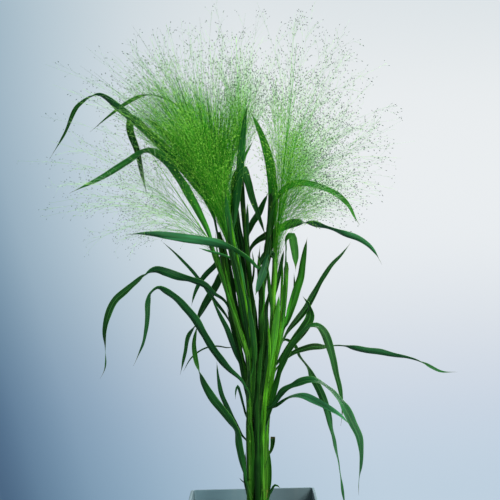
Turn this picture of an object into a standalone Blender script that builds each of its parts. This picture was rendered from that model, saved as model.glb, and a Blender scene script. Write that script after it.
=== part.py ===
"""A potted switchgrass: a square planter, soil, eight sheathed culms, forty leaf blades and five panicles.

Metres, +Z up. The origin is the middle of the pot's underside, and the pot's front faces -Y.
The plant's routes are written in millimetres on an upright plane through the pot's middle, as they are seen
from the front: x to the right of the pot's middle and h above its rim. place() carries a point from there to
its depth.
"""

import math

import bmesh
import bpy
import numpy as np
from mathutils import Matrix, Vector

MM = 0.001

# The pot and its soil.
POT_WIDTH = 194 * MM
POT_FOOT_WIDTH = 172 * MM
POT_HEIGHT = 180 * MM
POT_WALL = 4 * MM
POT_CORNER = 9 * MM
POT_CORNER_SEGMENTS = 4
ROUND_PROFILE = 0.5
POT_RIM_ROUND = 0.8 * MM
POT_RIM_SEGMENTS = 2
SHARP_EDGE = math.radians(50)
SOIL_BELOW_RIM = 32 * MM
SOIL_TOP = POT_HEIGHT - SOIL_BELOW_RIM
GAP = 0.3 * MM
CAP_WELD = 0.005 * MM

# Where the plant is seen from: level with its middle, with the picture turned a little.
EYE_DISTANCE = 2000 * MM
EYE_X = 4.4 * MM
EYE_ABOVE_RIM = 375 * MM
SIGHT_X = -3 * MM
PICTURE_TURN = math.radians(1.3)

# The culms: radius with the sheath on, at the foot and at the top.
CULM_FOOT_RADIUS = 4.2 * MM
CULM_TOP_RADIUS = 3 * MM
CULM_SIDES_LEVEL = 2
CULM_STATIONS = 13
FINE_STATIONS = 60

# The leaf blades.
BLADE_THICKNESS = 0.6 * MM
BLADE_SPACING = 22 * MM
BLADE_FEWEST, BLADE_MOST = 5, 18
BLADE_KEEL = 0.12
BLADE_BASE_SHARE = 0.45
BLADE_WIDEST_AT = 0.3
BLADE_TIP_SHARE = 0.08
BLADE_TAPER_POWER = 2.8
BLADE_STAND_OFF = 1.2 * MM
BLADE_DEPTH_POWER = 0.8

# The panicles: the main axis and the long branches that reach the cloud's outside.
NECK_GAP = 0.8 * MM
AXIS_RADIUS = 1.1 * MM
AXIS_POINTS = 5
AXIS_TIP_SHARE = 0.5
AXIS_LEAN_SHARE = 0.25
BRANCH_RADIUS = 0.55 * MM
BRANCH_TIP_SHARE = 0.55
BRANCH_POINTS = 4
BRANCH_LOWEST, BRANCH_SPREAD = 0.06, 0.55
BRANCH_BEND = 0.45
BRANCH_RISE = 0.7
EVEN_STEP, OTHER_EVEN_STEP = 0.618, 0.755

# Sides of a culm that a leaf can grow from, in degrees from +X.
RIGHT, BACK, LEFT, FRONT = 0, 90, 180, 270

CULMS = {
    # name: (depth at the foot, depth at the top, route)
    "culm_left": (0, 6, [(-2, -20), (-1.5, 60), (-2, 120), (-6, 172), (-17, 217), (-27, 262),
                         (-34.5, 300), (-40.5, 337), (-45, 372), (-49.5, 402)]),
    "culm_left_front": (-9, -18, [(-2, -20), (-3.5, 60), (-4, 120), (-3.5, 170), (-5, 210), (-15, 242),
                                  (-28.5, 285), (-48, 345), (-64.5, 390)]),
    "culm_centre": (0, -6, [(8, -20), (8, 90), (5, 150), (-3.5, 225), (-12, 300), (-19.5, 345), (-27, 382),
                            (-32, 410)]),
    "culm_rear_left": (9, 16, [(2, -20), (1, 90), (-2, 150), (-7.5, 225), (-15, 285), (-24, 337),
                               (-31.5, 375), (-37.5, 417)]),
    "culm_rear": (9, 24, [(11, -20), (12, 90), (10.5, 150), (6, 225), (0, 285), (-4.5, 337), (-9, 390),
                          (-13.5, 442), (-16.5, 487)]),
    "culm_front": (-16, -16, [(9, -20), (9.5, 90), (12, 150), (14.5, 225), (13.5, 285), (16.5, 330),
                              (22, 375), (26, 420), (28, 460)]),
    "culm_right": (-9, -12, [(17, -20), (15, 105), (21, 162), (28.5, 207), (31, 255), (32, 306), (34.5, 345),
                             (36, 390), (39, 417)]),
    "culm_far_right": (0, 0, [(20.5, -20), (20.5, 75), (24.5, 150), (33, 207), (40.5, 237), (46.5, 276),
                              (49.5, 306), (52, 357)]),
}

LEAVES = {
    # name: (culm, side of the culm, widest in mm, depth at the tip in mm, usual twist, route)
    # A route point is (x, h) or (x, h, twist). The twist is 0 where a blade faces the front and 90 edge-on.
    "leaf_top_left_arch": ("culm_left", LEFT, 13, 40, 20, [
        (-51, 396), (-60, 430), (-90, 486), (-124, 522), (-168, 561, 30), (-201, 589, 10), (-232, 607, 86),
        (-259, 592, 140), (-282, 547, 150), (-304, 511, 120)]),
    "leaf_top_left_inner": ("culm_centre", BACK, 10, 75, 30, [
        (-31, 405), (-42, 460), (-60, 510), (-90, 564), (-123, 598), (-156, 607, 60), (-190, 594, 20),
        (-213, 577, 30), (-243, 552, 50)]),
    "leaf_left_fold": ("culm_rear_left", BACK, 14, 75, 20, [
        (-33, 385), (-50, 425), (-76, 462), (-111, 505), (-157, 552), (-181, 573, 60), (-183, 560, 20),
        (-172, 523, 10), (-165, 490, 20), (-157, 454, 60)]),
    "leaf_left_long": ("culm_left_front", FRONT, 14, -75, 25, [
        (-54, 365), (-66, 400), (-91, 451), (-108, 480), (-124, 502), (-139, 517), (-156, 523, 60),
        (-187, 507, 30), (-225, 484, 20), (-274, 460, 40)]),
    "leaf_left_level": ("culm_front", FRONT, 15, -80, 20, [
        (17, 335), (0, 354, 50), (-21, 370, 60), (-46, 382, 40), (-73, 388, 30), (-102, 393, 5),
        (-130, 397, 10), (-160, 399, 50), (-189, 398, 60)]),
    "leaf_left_sliver": ("culm_centre", FRONT, 5, -45, 20, [
        (-19, 343), (-31, 361), (-49, 369), (-64, 373), (-80, 378)]),
    "leaf_left_spear": ("culm_left", LEFT, 6, 55, 20, [
        (-26, 250), (-36, 271), (-57, 300), (-81, 333), (-111, 366), (-135, 388)]),
    "leaf_left_short": ("culm_left", LEFT, 9, -20, 20, [
        (-14, 190), (-22, 211), (-30, 234), (-37, 255), (-48, 277), (-61, 303)]),
    "leaf_left_high_arch": ("culm_left", FRONT, 13, -45, 20, [
        (-31, 278), (-43, 299, 30), (-58, 309, 40), (-69, 321, 20), (-93, 330, 35), (-111, 335, 20),
        (-130, 342, 10), (-144, 345, 40), (-160, 337, 86), (-171, 328, 120), (-188, 314, 150),
        (-204, 301, 165), (-216, 277, 160), (-221, 249, 140), (-220, 225, 110), (-222, 193), (-228, 182)]),
    "leaf_left_low_arch": ("culm_left_front", FRONT, 13, -80, 25, [
        (-3, 155), (-16, 178), (-35, 196), (-56, 222), (-73, 249), (-84, 268), (-100, 288), (-115, 303),
        (-130, 313, 35), (-141, 317, 70), (-150, 311, 80), (-156, 297, 50), (-157, 276, 30), (-159, 255, 40),
        (-163, 235, 50), (-171, 216, 50), (-178, 201)]),
    "leaf_left_drop_back": ("culm_rear_left", BACK, 9, 60, 15, [
        (-22, 330), (-33, 358), (-45, 363), (-56, 351), (-69, 338), (-81, 321), (-87, 306), (-91, 291)]),
    "leaf_left_hanging": ("culm_rear_left", BACK, 12, 95, 10, [
        (-15, 290), (-30, 330), (-42, 340), (-54, 321), (-66, 301), (-75, 283, 50), (-82, 265, 80),
        (-94, 247, 40), (-100, 220, 40), (-108, 187)]),
    "leaf_foot_left_twist": ("culm_left_front", LEFT, 14, -30, 20, [
        (-9, 12), (-14, 51, 20), (-19, 79, 30), (-24, 103, 60), (-32, 117, 40), (-46, 136, 15),
        (-61, 155, 15), (-74, 177, 50), (-80, 193, 86), (-85, 214, 140), (-87, 234, 165), (-84, 253, 160),
        (-78, 270)]),
    "leaf_foot_left_spear": ("culm_left", LEFT, 9, 30, 30, [
        (-8, 80), (-22, 107, 60), (-34, 132), (-45, 157), (-50, 180), (-53, 208)]),
    "leaf_left_wisp": ("culm_left", BACK, 3, 70, 10, [
        (-21, 222), (-39, 229), (-56, 231), (-72, 227), (-91, 213), (-103, 193)]),
    "leaf_foot_left_hook": ("culm_left", LEFT, 6, -6, 40, [
        (-8, 112), (-14, 141), (-19, 163), (-21.5, 171), (-24, 164), (-25, 151)]),
    "leaf_foot_stub_left": ("culm_left", LEFT, 4, 5, 20, [(-7, 12), (-13, 25), (-19, 33)]),
    "leaf_foot_stub_right": ("culm_far_right", RIGHT, 8, 6, 20, [(25, 55), (29, 76), (33, 92)]),
    "leaf_foot_curl_right": ("culm_far_right", RIGHT, 8, -8, 30, [
        (22, -4), (31, 14, 80), (36, 22), (42, 18)]),
    "leaf_top_right_drape": ("culm_front", RIGHT, 11, -60, 25, [
        (28, 425), (38, 452), (52, 468), (69, 475), (93, 472), (112, 466), (130, 456), (145, 441),
        (154, 424), (162, 412)]),
    "leaf_right_high_twist": ("culm_rear", BACK, 14, 85, 20, [
        (-7, 355), (-1, 377, 20), (9, 389, 10), (19, 395, 10), (30, 400, 50), (43, 406, 40), (58, 414, 10),
        (72, 416, 40), (81, 415, 88), (94, 413, 130), (111, 408, 110), (142, 398, 150), (160, 392, 165),
        (176, 381, 160), (187, 367, 130), (195, 353)]),
    "leaf_right_spear": ("culm_far_right", RIGHT, 11, 60, 25, [
        (42, 226), (57, 256), (70, 272), (82, 288, 30), (94, 310, 30), (107, 333, 40), (118, 350, 40),
        (134, 367, 50), (148, 386)]),
    "leaf_right_big_arch": ("culm_right", RIGHT, 15, -40, 45, [
        (16, 95), (27, 132, 40), (34, 163, 50), (43, 195, 55), (54, 219, 60), (66, 237, 60), (78, 252, 60),
        (88, 260, 70), (97, 261, 60), (107, 252, 30), (115, 234, 20), (121, 213, 20), (127, 186, 30),
        (132, 165, 40), (135, 144, 50), (135, 126), (133, 111)]),
    "leaf_right_hooked": ("culm_right", RIGHT, 15, -8, 20, [
        (27, 190), (52, 223), (67, 243), (79, 259, 10), (87, 274, 10), (85, 291, 60), (76, 306)]),
    "leaf_right_longest": ("culm_far_right", RIGHT, 11, 45, 20, [
        (32, 186), (52, 213), (65, 222), (76, 226), (91, 230, 10), (107, 229, 50), (123, 231, 84),
        (134, 231, 100), (151, 228, 140), (171, 224, 155), (190, 222, 150), (208, 218, 150), (228, 214, 130),
        (247, 209, 110), (266, 201), (283, 193), (308, 192)]),
    "leaf_right_plunge": ("culm_far_right", BACK, 12, 115, 20, [
        (42, 222), (50, 240), (56, 238, 20), (65, 229, 40), (71, 214, 70), (79, 204, 70), (90, 186, 30),
        (100, 168, 10), (109, 147, 10), (115, 127, 20), (121, 99, 60), (127, 70, 70), (132, 42, 70),
        (138, 1), (141, -18)]),
    "leaf_right_low_arch": ("culm_right", FRONT, 16, -115, 25, [
        (20, 130), (34, 148, 30), (44, 162, 30), (60, 170, 70), (75, 177, 40), (88, 179, 50), (102, 175, 78),
        (117, 164, 78), (129, 151, 70), (142, 133, 20), (151, 114, 25), (160, 93, 40), (163, 73, 45),
        (163, 51, 50), (160, 22, 70), (160, 7)]),
    "leaf_right_low_pale": ("culm_far_right", FRONT, 12, -60, 15, [
        (28, 128), (40, 147, 60), (56, 155, 75), (75, 156, 50), (94, 149, 20), (113, 139, 20),
        (132, 127, 30), (147, 113)]),
    "leaf_right_folded": ("culm_far_right", FRONT, 13, -22, 10, [
        (43, 232), (45, 262, 40), (48, 300, 55), (50, 340, 50), (51.5, 375, 40), (55, 393, 45), (61, 397, 30),
        (66, 382, 0), (67, 364, 10), (66, 342, 20)]),
    "leaf_right_upright": ("culm_far_right", RIGHT, 13, -25, 15, [
        (46, 245), (52, 264), (60, 291), (67, 315), (73, 334), (76, 354), (79, 373), (83, 394)]),
    "leaf_right_narrow": ("culm_far_right", BACK, 6, 40, 30, [
        (48, 262), (58, 282), (64, 303), (64, 322), (63, 340)]),
    "leaf_right_inner": ("culm_right", BACK, 8, 10, 20, [(32, 296), (40, 331), (44, 354), (48, 376)]),
    "leaf_centre_tall": ("culm_centre", FRONT, 13, -30, 15, [
        (-31, 395), (-25, 440), (-20, 480), (-16, 520), (-13, 550), (-10, 577), (-5, 597)]),
    "leaf_centre_lean": ("culm_front", BACK, 16, 20, 15, [
        (26, 380), (31, 420), (32, 455), (30, 482), (25, 513), (17, 540), (8, 562), (-3, 584)]),
    "leaf_centre_small": ("culm_rear", BACK, 6, 45, 20, [(-16, 475), (-13, 507), (-7, 523), (1, 537)]),
    "leaf_centre_drop": ("culm_rear_left", RIGHT, 13, 6, 15, [
        (-35, 395), (-28, 457, 50), (-22, 490, 40), (-14, 497, 30), (-7, 480, 0), (0, 454, 0), (9, 429, 20),
        (16, 409), (21, 394)]),
    "leaf_centre_slant": ("culm_rear", RIGHT, 12, 50, 10, [
        (-8, 381), (-4, 402), (1, 415), (10, 429), (17, 445), (24, 460)]),
    "leaf_centre_bud": ("culm_rear", FRONT, 6, 5, 10, [(-8, 381), (-7, 412), (-7, 445)]),
    "leaf_centre_hanging": ("culm_right", LEFT, 13, -38, 10, [
        (35, 352), (30, 371, 50), (25, 366, 20), (19, 348, 0), (12, 328, 20), (5, 307, 50)]),
    "leaf_centre_back": ("culm_rear", RIGHT, 9, 20, 20, [(7, 222), (14, 258), (21, 288), (27, 315)]),
    "leaf_centre_broad": ("culm_rear_left", BACK, 16, 52, 10, [
        (0, 190), (-3, 240), (-9, 300), (-15, 350), (-21, 395), (-25, 435), (-25, 470), (-21, 505)]),
    "leaf_centre_second": ("culm_centre", FRONT, 15, -36, 10, [
        (-2, 215), (-8, 262), (-15, 310), (-24, 360), (-33, 405), (-38, 440), (-41, 470)]),
    "leaf_left_broad": ("culm_left", BACK, 15, 28, 10, [
        (-13, 192), (-18, 225), (-23, 262), (-29, 300), (-34, 335), (-41, 372), (-48, 405)]),
    "leaf_right_bright": ("culm_right", FRONT, 12, -22, 10, [
        (26, 190), (30, 222), (34, 252), (38, 282), (41, 310)]),
    "leaf_centre_bright": ("culm_left_front", FRONT, 13, -34, 10, [
        (1, 176), (3, 215), (1, 250), (-4, 285), (-9, 315)]),
}

PANICLES = {
    # name: (culm, angle and length of the main axis, lowest and highest angle of the fan, its reach at even
    #        steps between them, branches, how far forward and back they lean, first turn)
    # Angles are in degrees from +X, leans in degrees to the back, and lengths in mm. Another first turn deals
    # the branches out afresh.
    "panicle_left": (
        "culm_centre", 110, 240, 76, 152, [300, 325, 330, 335, 345, 375, 320], 18, -52, 28, 0.12),
    "panicle_left_dense": ("culm_rear_left", 104, 150, 84, 134, [185, 195, 205, 200], 12, 6, 48, 0.0),
    "panicle_low_left": (
        "culm_left_front", 124, 150, 112, 184, [130, 200, 260, 322, 270, 170], 15, -46, 46, 0.0),
    "panicle_rear": ("culm_rear", 92, 210, 60, 122, [190, 250, 262, 210], 12, -30, 46, 0.08),
    "panicle_right": ("culm_right", 84, 270, 8, 98, [150, 235, 255, 310, 345, 330], 18, -48, 46, 0.0),
}

COLOURS = {
    # name: (colour, roughness)
    "pot_grey": ((0.19, 0.26, 0.27, 1), 0.45),
    "soil_brown": ((0.045, 0.03, 0.02, 1), 0.95),
    "culm_green": ((0.10, 0.27, 0.03, 1), 0.5),
    "leaf_green": ((0.03, 0.15, 0.03, 1), 0.45),
    "panicle_green": ((0.16, 0.35, 0.08, 1), 0.6),
}


def clear_scene():
    for thing in list(bpy.data.objects):
        bpy.data.objects.remove(thing)


def new_collection(name):
    made = bpy.data.collections.new(name)
    bpy.context.scene.collection.children.link(made)
    return made


def finish(name):
    """A new material of that name's colour, for one object alone."""
    colour, roughness = COLOURS[name]
    made = bpy.data.materials.new(name)
    made.use_nodes = True
    shader = made.node_tree.nodes["Principled BSDF"]
    shader.inputs["Base Color"].default_value = colour
    shader.inputs["Roughness"].default_value = roughness
    shader.inputs["Metallic"].default_value = 0
    return made


def add_object(name, data, material, collection):
    made = bpy.data.objects.new(name, data)
    data.materials.append(finish(material))
    collection.objects.link(made)
    return made


def stand(made, base, parent):
    """Moves the object's origin to its base, a world point, without moving its mesh, and parents it."""
    made.data.transform(Matrix.Translation(-Vector(base)))
    above = parent
    offset = Vector(base)
    while above:
        offset -= above.location
        above = above.parent
    made.parent = parent
    made.location = offset
    return made


def place(x, h, depth):
    """The point seen at x and h (mm) on the plane through the pot's middle, moved to its depth (mm)."""
    across = x * MM - SIGHT_X
    up = h * MM - EYE_ABOVE_RIM
    turned_across = across * math.cos(PICTURE_TURN) + up * math.sin(PICTURE_TURN)
    turned_up = up * math.cos(PICTURE_TURN) - across * math.sin(PICTURE_TURN)
    stretch = 1 + depth * MM / EYE_DISTANCE
    return np.array([
        EYE_X + turned_across * stretch,
        depth * MM,
        POT_HEIGHT + EYE_ABOVE_RIM + turned_up * stretch,
    ])


def along(rows, count):
    """count + 1 rows at even steps of a smooth curve through the rows, which start with x, y and z."""
    rows = np.array(rows, float)
    gaps = np.linalg.norm(np.diff(rows[:, :3], axis=0), axis=1)
    knots = np.concatenate([[0], np.cumsum(gaps)])
    slopes = np.gradient(rows, knots, axis=0)
    stops = np.linspace(0, knots[-1], count + 1)
    i = np.clip(np.searchsorted(knots, stops, side="right") - 1, 0, len(gaps) - 1)
    u = ((stops - knots[i]) / gaps[i])[:, None]
    gap = gaps[i][:, None]
    near = rows[i] * (1 + 2 * u) * (1 - u) ** 2 + slopes[i] * gap * u * (1 - u) ** 2
    far = rows[i + 1] * u ** 2 * (3 - 2 * u) + slopes[i + 1] * gap * u ** 2 * (u - 1)
    return near + far


def culm_line(name, count):
    """count + 1 points up the middle of a culm, from just above the soil."""
    foot_depth, top_depth, route = CULMS[name]
    top = route[-1][1]
    points = [place(x, h, foot_depth + (top_depth - foot_depth) * max(h, 0) / top) for x, h in route]
    points[0][2] = SOIL_TOP + GAP
    return along(points, count)


def culm_radius(share):
    return CULM_FOOT_RADIUS + (CULM_TOP_RADIUS - CULM_FOOT_RADIUS) * share


def blade_width(share):
    """The blade's width at a share of its length, as a share of its widest."""
    if share < BLADE_WIDEST_AT:
        rise = share / BLADE_WIDEST_AT
        return BLADE_BASE_SHARE + (1 - BLADE_BASE_SHARE) * rise * rise * (3 - 2 * rise)
    fall = (share - BLADE_WIDEST_AT) / (1 - BLADE_WIDEST_AT)
    return 1 - (1 - BLADE_TIP_SHARE) * fall ** BLADE_TAPER_POWER


def blade_line(name, count):
    """count + 1 rows of x, y, z and twist along a blade, from beside its culm to its tip."""
    culm, side, widest, tip_depth, twist, route = LEAVES[name]
    stem = culm_line(culm, FINE_STATIONS)
    foot = place(*route[0][:2], 0)
    nearest = int(np.argmin(abs(stem[:, 2] - foot[2])))
    stand_off = culm_radius(nearest / FINE_STATIONS) + BLADE_STAND_OFF
    turn = math.radians(side)
    base = stem[nearest] + np.array([math.cos(turn), math.sin(turn), 0]) * stand_off
    run = np.cumsum([0] + [math.dist(p[:2], q[:2]) for p, q in zip(route, route[1:])])
    base_depth = base[1] / MM
    rows = [[*base, 0 if side in (FRONT, BACK) else 90]]
    for point, way in zip(route[1:], run[1:]):
        depth = base_depth + (tip_depth - base_depth) * (way / run[-1]) ** BLADE_DEPTH_POWER
        rows.append([*place(*point[:2], depth), point[2] if len(point) > 2 else twist])
    return along(rows, count)


def blade_frames(line):
    """The unit vectors across the blade and out of its upper side, at each row of its line."""
    ahead = np.gradient(line[:, :3], axis=0)
    ahead /= np.linalg.norm(ahead, axis=1)[:, None]
    flat = np.cross(ahead, [0, 1, 0])
    flat /= np.linalg.norm(flat, axis=1)[:, None]
    out = np.cross(flat, ahead)
    twist = np.radians(line[:, 3])[:, None]
    return flat * np.cos(twist) + out * np.sin(twist), out * np.cos(twist) - flat * np.sin(twist)


def loft(name, rings):
    """A closed mesh through rings of an edge, an upper keel, the other edge and a lower keel.

    The two sides share their diagonals, so that a twist doesn't push one through the other.
    """
    size = len(rings[0])
    points = [tuple(point) for ring in rings for point in ring]
    faces = []
    for low in range(0, len(points) - size, size):
        for i in range(size):
            here, there = low + i, low + (i + 1) % size
            if i >= size / 2:
                here, there = there, here
            faces.append((here, there, there + size))
            faces.append((here, there + size, here + size))
    faces.append(tuple(range(size)))
    faces.append(tuple(range(len(points) - size, len(points))))
    made = bpy.data.meshes.new(name)
    made.from_pydata(points, [], faces)
    turn_faces_out(made)
    return made


def make_blade(name, collection, culm):
    widest = LEAVES[name][2] * MM
    route = LEAVES[name][5]
    length = sum(math.dist(p[:2], q[:2]) for p, q in zip(route, route[1:])) * MM
    count = int(min(max(length / BLADE_SPACING, BLADE_FEWEST), BLADE_MOST))
    line = blade_line(name, count)
    across, out = blade_frames(line)
    rings = []
    for i in range(count + 1):
        middle = line[i, :3]
        half = blade_width(i / count) * widest / 2
        keel = out[i] * half * 2 * BLADE_KEEL
        thick = out[i] * BLADE_THICKNESS / 2
        edges = [middle + across[i] * half + keel, middle - across[i] * half + keel]
        rings.append([edges[0], middle + thick, edges[1], middle - thick])
    made = add_object(name, loft(name, rings), "leaf_green", collection)
    return stand(made, line[0, :3], culm)


def turn_faces_out(mesh, weld=0.0):
    shape = bmesh.new()
    shape.from_mesh(mesh)
    if weld:
        bmesh.ops.remove_doubles(shape, verts=shape.verts, dist=weld)
    bmesh.ops.recalc_face_normals(shape, faces=shape.faces)
    shape.to_mesh(mesh)
    shape.free()


def cord(name, points, radii, sides_level):
    """A mesh made from a tapered round curve with closed ends."""
    curve = bpy.data.curves.new(name, "CURVE")
    curve.dimensions = "3D"
    curve.bevel_depth = 1
    curve.bevel_resolution = sides_level
    curve.use_fill_caps = True
    spline = curve.splines.new("POLY")
    spline.points.add(len(points) - 1)
    for knot, point, radius in zip(spline.points, points, radii):
        knot.co = (*point, 1)
        knot.radius = radius
    holder = bpy.data.objects.new(name + "_curve", curve)
    bpy.context.scene.collection.objects.link(holder)
    mesh = bpy.data.meshes.new_from_object(holder.evaluated_get(bpy.context.evaluated_depsgraph_get()))
    bpy.data.objects.remove(holder)
    turn_faces_out(mesh, CAP_WELD)
    return mesh


def make_culm(name, collection, soil):
    points = culm_line(name, CULM_STATIONS - 1)
    radii = [culm_radius(i / (CULM_STATIONS - 1)) for i in range(CULM_STATIONS)]
    mesh = cord(name, points, radii, CULM_SIDES_LEVEL)
    mesh.polygons.foreach_set("use_smooth", [True] * len(mesh.polygons))
    return stand(add_object(name, mesh, "culm_green", collection), points[0], soil)


def aim(angle, lean):
    """The unit vector in x, h and depth at an angle from +X and a lean to the back, in degrees."""
    angle, lean = math.radians(angle), math.radians(lean)
    return np.array([math.cos(angle) * math.cos(lean), math.sin(angle) * math.cos(lean), math.sin(lean)])


def panicle_lines(name):
    """The main axis as two points, and the long branches as (start, bend, tip)."""
    culm, angle, length, lowest, highest, reaches, branches, forward, back, turn = PANICLES[name]
    top_depth = CULMS[culm][1]
    x, h = CULMS[culm][2][-1]
    top, below = place(x, h, top_depth), culm_line(culm, FINE_STATIONS)[-2]
    ahead = aim(angle, (forward + back) * AXIS_LEAN_SHARE)
    neck = np.array([x, h, top_depth])
    start = top + (top - below) / np.linalg.norm(top - below) * NECK_GAP
    end = place(*(neck + ahead * length))
    lines = []
    for i in range(branches):
        spread = (i + 0.5) / branches
        way = lowest + (highest - lowest) * spread
        side = aim(way, forward + (back - forward) * ((i * EVEN_STEP + turn) % 1))
        reach = np.interp(spread, np.linspace(0, 1, len(reaches)), reaches)
        tip = neck + side * reach
        closeness = 1 - abs(way - angle) / max(angle - lowest, highest - angle)
        height = BRANCH_LOWEST + BRANCH_SPREAD * closeness * ((i * OTHER_EVEN_STEP + turn) % 1)
        foot = neck + ahead * length * height
        rise = ahead * BRANCH_RISE + side * (1 - BRANCH_RISE)
        bend = foot + rise * np.linalg.norm(tip - foot) * BRANCH_BEND
        lines.append([place(*foot), place(*bend), place(*tip)])
    return [start, end], lines


def make_panicle(name, collection, culm, cutters):
    axis, branches = panicle_lines(name)
    shares = np.linspace(0, 1, AXIS_POINTS)
    middle = [axis[0] * (1 - s) + axis[1] * s for s in shares]
    body = cord(name, middle, [AXIS_RADIUS * (1 - (1 - AXIS_TIP_SHARE) * s) for s in shares], 1)
    made = add_object(name, body, "panicle_green", collection)
    own = bpy.data.collections.new(name + "_branches")
    cutters.children.link(own)
    for i, (foot, bend, tip) in enumerate(branches):
        shares = np.linspace(0, 1, BRANCH_POINTS)
        points = [foot * (1 - s) ** 2 + bend * 2 * s * (1 - s) + tip * s ** 2 for s in shares]
        radii = [BRANCH_RADIUS * (1 - (1 - BRANCH_TIP_SHARE) * s) for s in shares]
        shape = cord(f"{name}_{i}", points, radii, 0)
        branch = stand(add_object(f"{name}_branch_{i}", shape, "panicle_green", own), foot, None)
        branch.hide_render = True
        branch.display_type = "WIRE"
    join = made.modifiers.new("branches", "BOOLEAN")
    join.operation = "UNION"
    join.solver = "EXACT"
    join.operand_type = "COLLECTION"
    join.collection = own
    return stand(made, axis[0], culm)


def tapered_box(name, foot_width, top_width, height, corner, open_top, material, collection):
    """A square box on its foot, wider at the top, with its upright edges rounded."""
    shape = bmesh.new()
    bmesh.ops.create_cube(shape, size=1)
    for vert in shape.verts:
        width = top_width if vert.co.z > 0 else foot_width
        vert.co = (vert.co.x * width, vert.co.y * width, (vert.co.z + 0.5) * height)
    upright = [edge for edge in shape.edges if abs(edge.verts[0].co.z - edge.verts[1].co.z) > height / 2]
    bmesh.ops.bevel(shape, geom=upright, offset=corner, segments=POT_CORNER_SEGMENTS, profile=ROUND_PROFILE,
                    affect="EDGES")
    if open_top:
        top = [face for face in shape.faces if all(vert.co.z > height / 2 for vert in face.verts)]
        bmesh.ops.delete(shape, geom=top, context="FACES_ONLY")
    mesh = bpy.data.meshes.new(name)
    shape.to_mesh(mesh)
    shape.free()
    return add_object(name, mesh, material, collection)


def width_at(z):
    return POT_FOOT_WIDTH + (POT_WIDTH - POT_FOOT_WIDTH) * z / POT_HEIGHT


def make_planter(collection):
    made = tapered_box("planter", POT_FOOT_WIDTH, POT_WIDTH, POT_HEIGHT, POT_CORNER, True, "pot_grey",
                       collection)
    wall = made.modifiers.new("wall", "SOLIDIFY")
    wall.thickness = POT_WALL
    wall.offset = -1
    wall.use_even_offset = True
    edge = made.modifiers.new("rounded rim", "BEVEL")
    edge.width = POT_RIM_ROUND
    edge.segments = POT_RIM_SEGMENTS
    edge.limit_method = "ANGLE"
    edge.angle_limit = SHARP_EDGE
    return made


def make_soil(collection, planter):
    low = POT_WALL + GAP
    inset = 2 * (POT_WALL + GAP)
    made = tapered_box("soil", width_at(low) - inset, width_at(SOIL_TOP) - inset, SOIL_TOP - low,
                       POT_CORNER - POT_WALL, False, "soil_brown", collection)
    made.location.z = low
    made.parent = planter
    return made


clear_scene()
plant = new_collection("potted_switchgrass")
cutters = new_collection("branches_before_joining")
cutters.hide_render = True
planter = make_planter(plant)
soil = make_soil(plant, planter)
culms = {name: make_culm(name, plant, soil) for name in CULMS}
for name, row in LEAVES.items():
    make_blade(name, plant, culms[row[0]])
for name, row in PANICLES.items():
    make_panicle(name, plant, culms[row[0]], cutters)
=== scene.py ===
"""A switchgrass in a plain square planter: its soil, sheathed culms, arching blades and airy panicles."""
import math
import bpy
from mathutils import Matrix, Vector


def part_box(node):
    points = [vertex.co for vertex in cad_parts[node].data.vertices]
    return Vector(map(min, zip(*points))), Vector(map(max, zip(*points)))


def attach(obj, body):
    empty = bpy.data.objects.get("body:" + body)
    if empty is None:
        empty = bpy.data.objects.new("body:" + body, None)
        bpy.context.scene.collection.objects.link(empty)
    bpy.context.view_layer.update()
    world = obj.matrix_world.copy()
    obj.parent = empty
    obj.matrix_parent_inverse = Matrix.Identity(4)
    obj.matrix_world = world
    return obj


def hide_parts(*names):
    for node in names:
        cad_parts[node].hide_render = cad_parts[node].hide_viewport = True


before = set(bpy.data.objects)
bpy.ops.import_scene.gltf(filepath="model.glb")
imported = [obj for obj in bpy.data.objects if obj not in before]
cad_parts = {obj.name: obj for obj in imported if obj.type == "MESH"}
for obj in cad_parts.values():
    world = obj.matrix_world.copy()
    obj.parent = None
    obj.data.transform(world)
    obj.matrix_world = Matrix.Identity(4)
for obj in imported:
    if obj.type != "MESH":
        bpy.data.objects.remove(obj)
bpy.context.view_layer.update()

from types import SimpleNamespace

import bpy
import numpy as np
from mathutils import Matrix, Vector

MM = 0.001


# The planter: a square tub moulded in one piece from grey-green plastic, with a draft so that it leaves its
# mould. Its wall is thin, its rim is only eased, and handling and watering have left it faintly clouded. It
# stands free on its flat foot.
foot_corner, rim_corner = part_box("planter")
POT_HEIGHT = rim_corner[2]
POT_WIDTH = rim_corner[0] - foot_corner[0]
POT_FOOT_WIDTH = POT_WIDTH - 22 * MM
POT_WALL, POT_CORNER, POT_EASE = 4 * MM, 9 * MM, 0.9 * MM
POT_CORNER_STEPS, EASE_TURNS, POT_SHARP = 9, np.radians((0, 30, 60, 90)), math.radians(40)
PLANTER_GREEN, PLANTER_BLUE = (0.170, 0.265, 0.280, 1), (0.125, 0.215, 0.250, 1)
PLANTER_DUST, PLANTER_DUSTY_RIM = (0.30, 0.36, 0.36, 1), 14 * MM
# painted shade for the inner walls, and painted light for the inner back wall at its left
PLANTER_PAINTED_SHADE, PLANTER_PAINTED_LIGHT = (0.018, 0.030, 0.034, 1), (0.25, 0.45, 0.52, 1)


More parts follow.
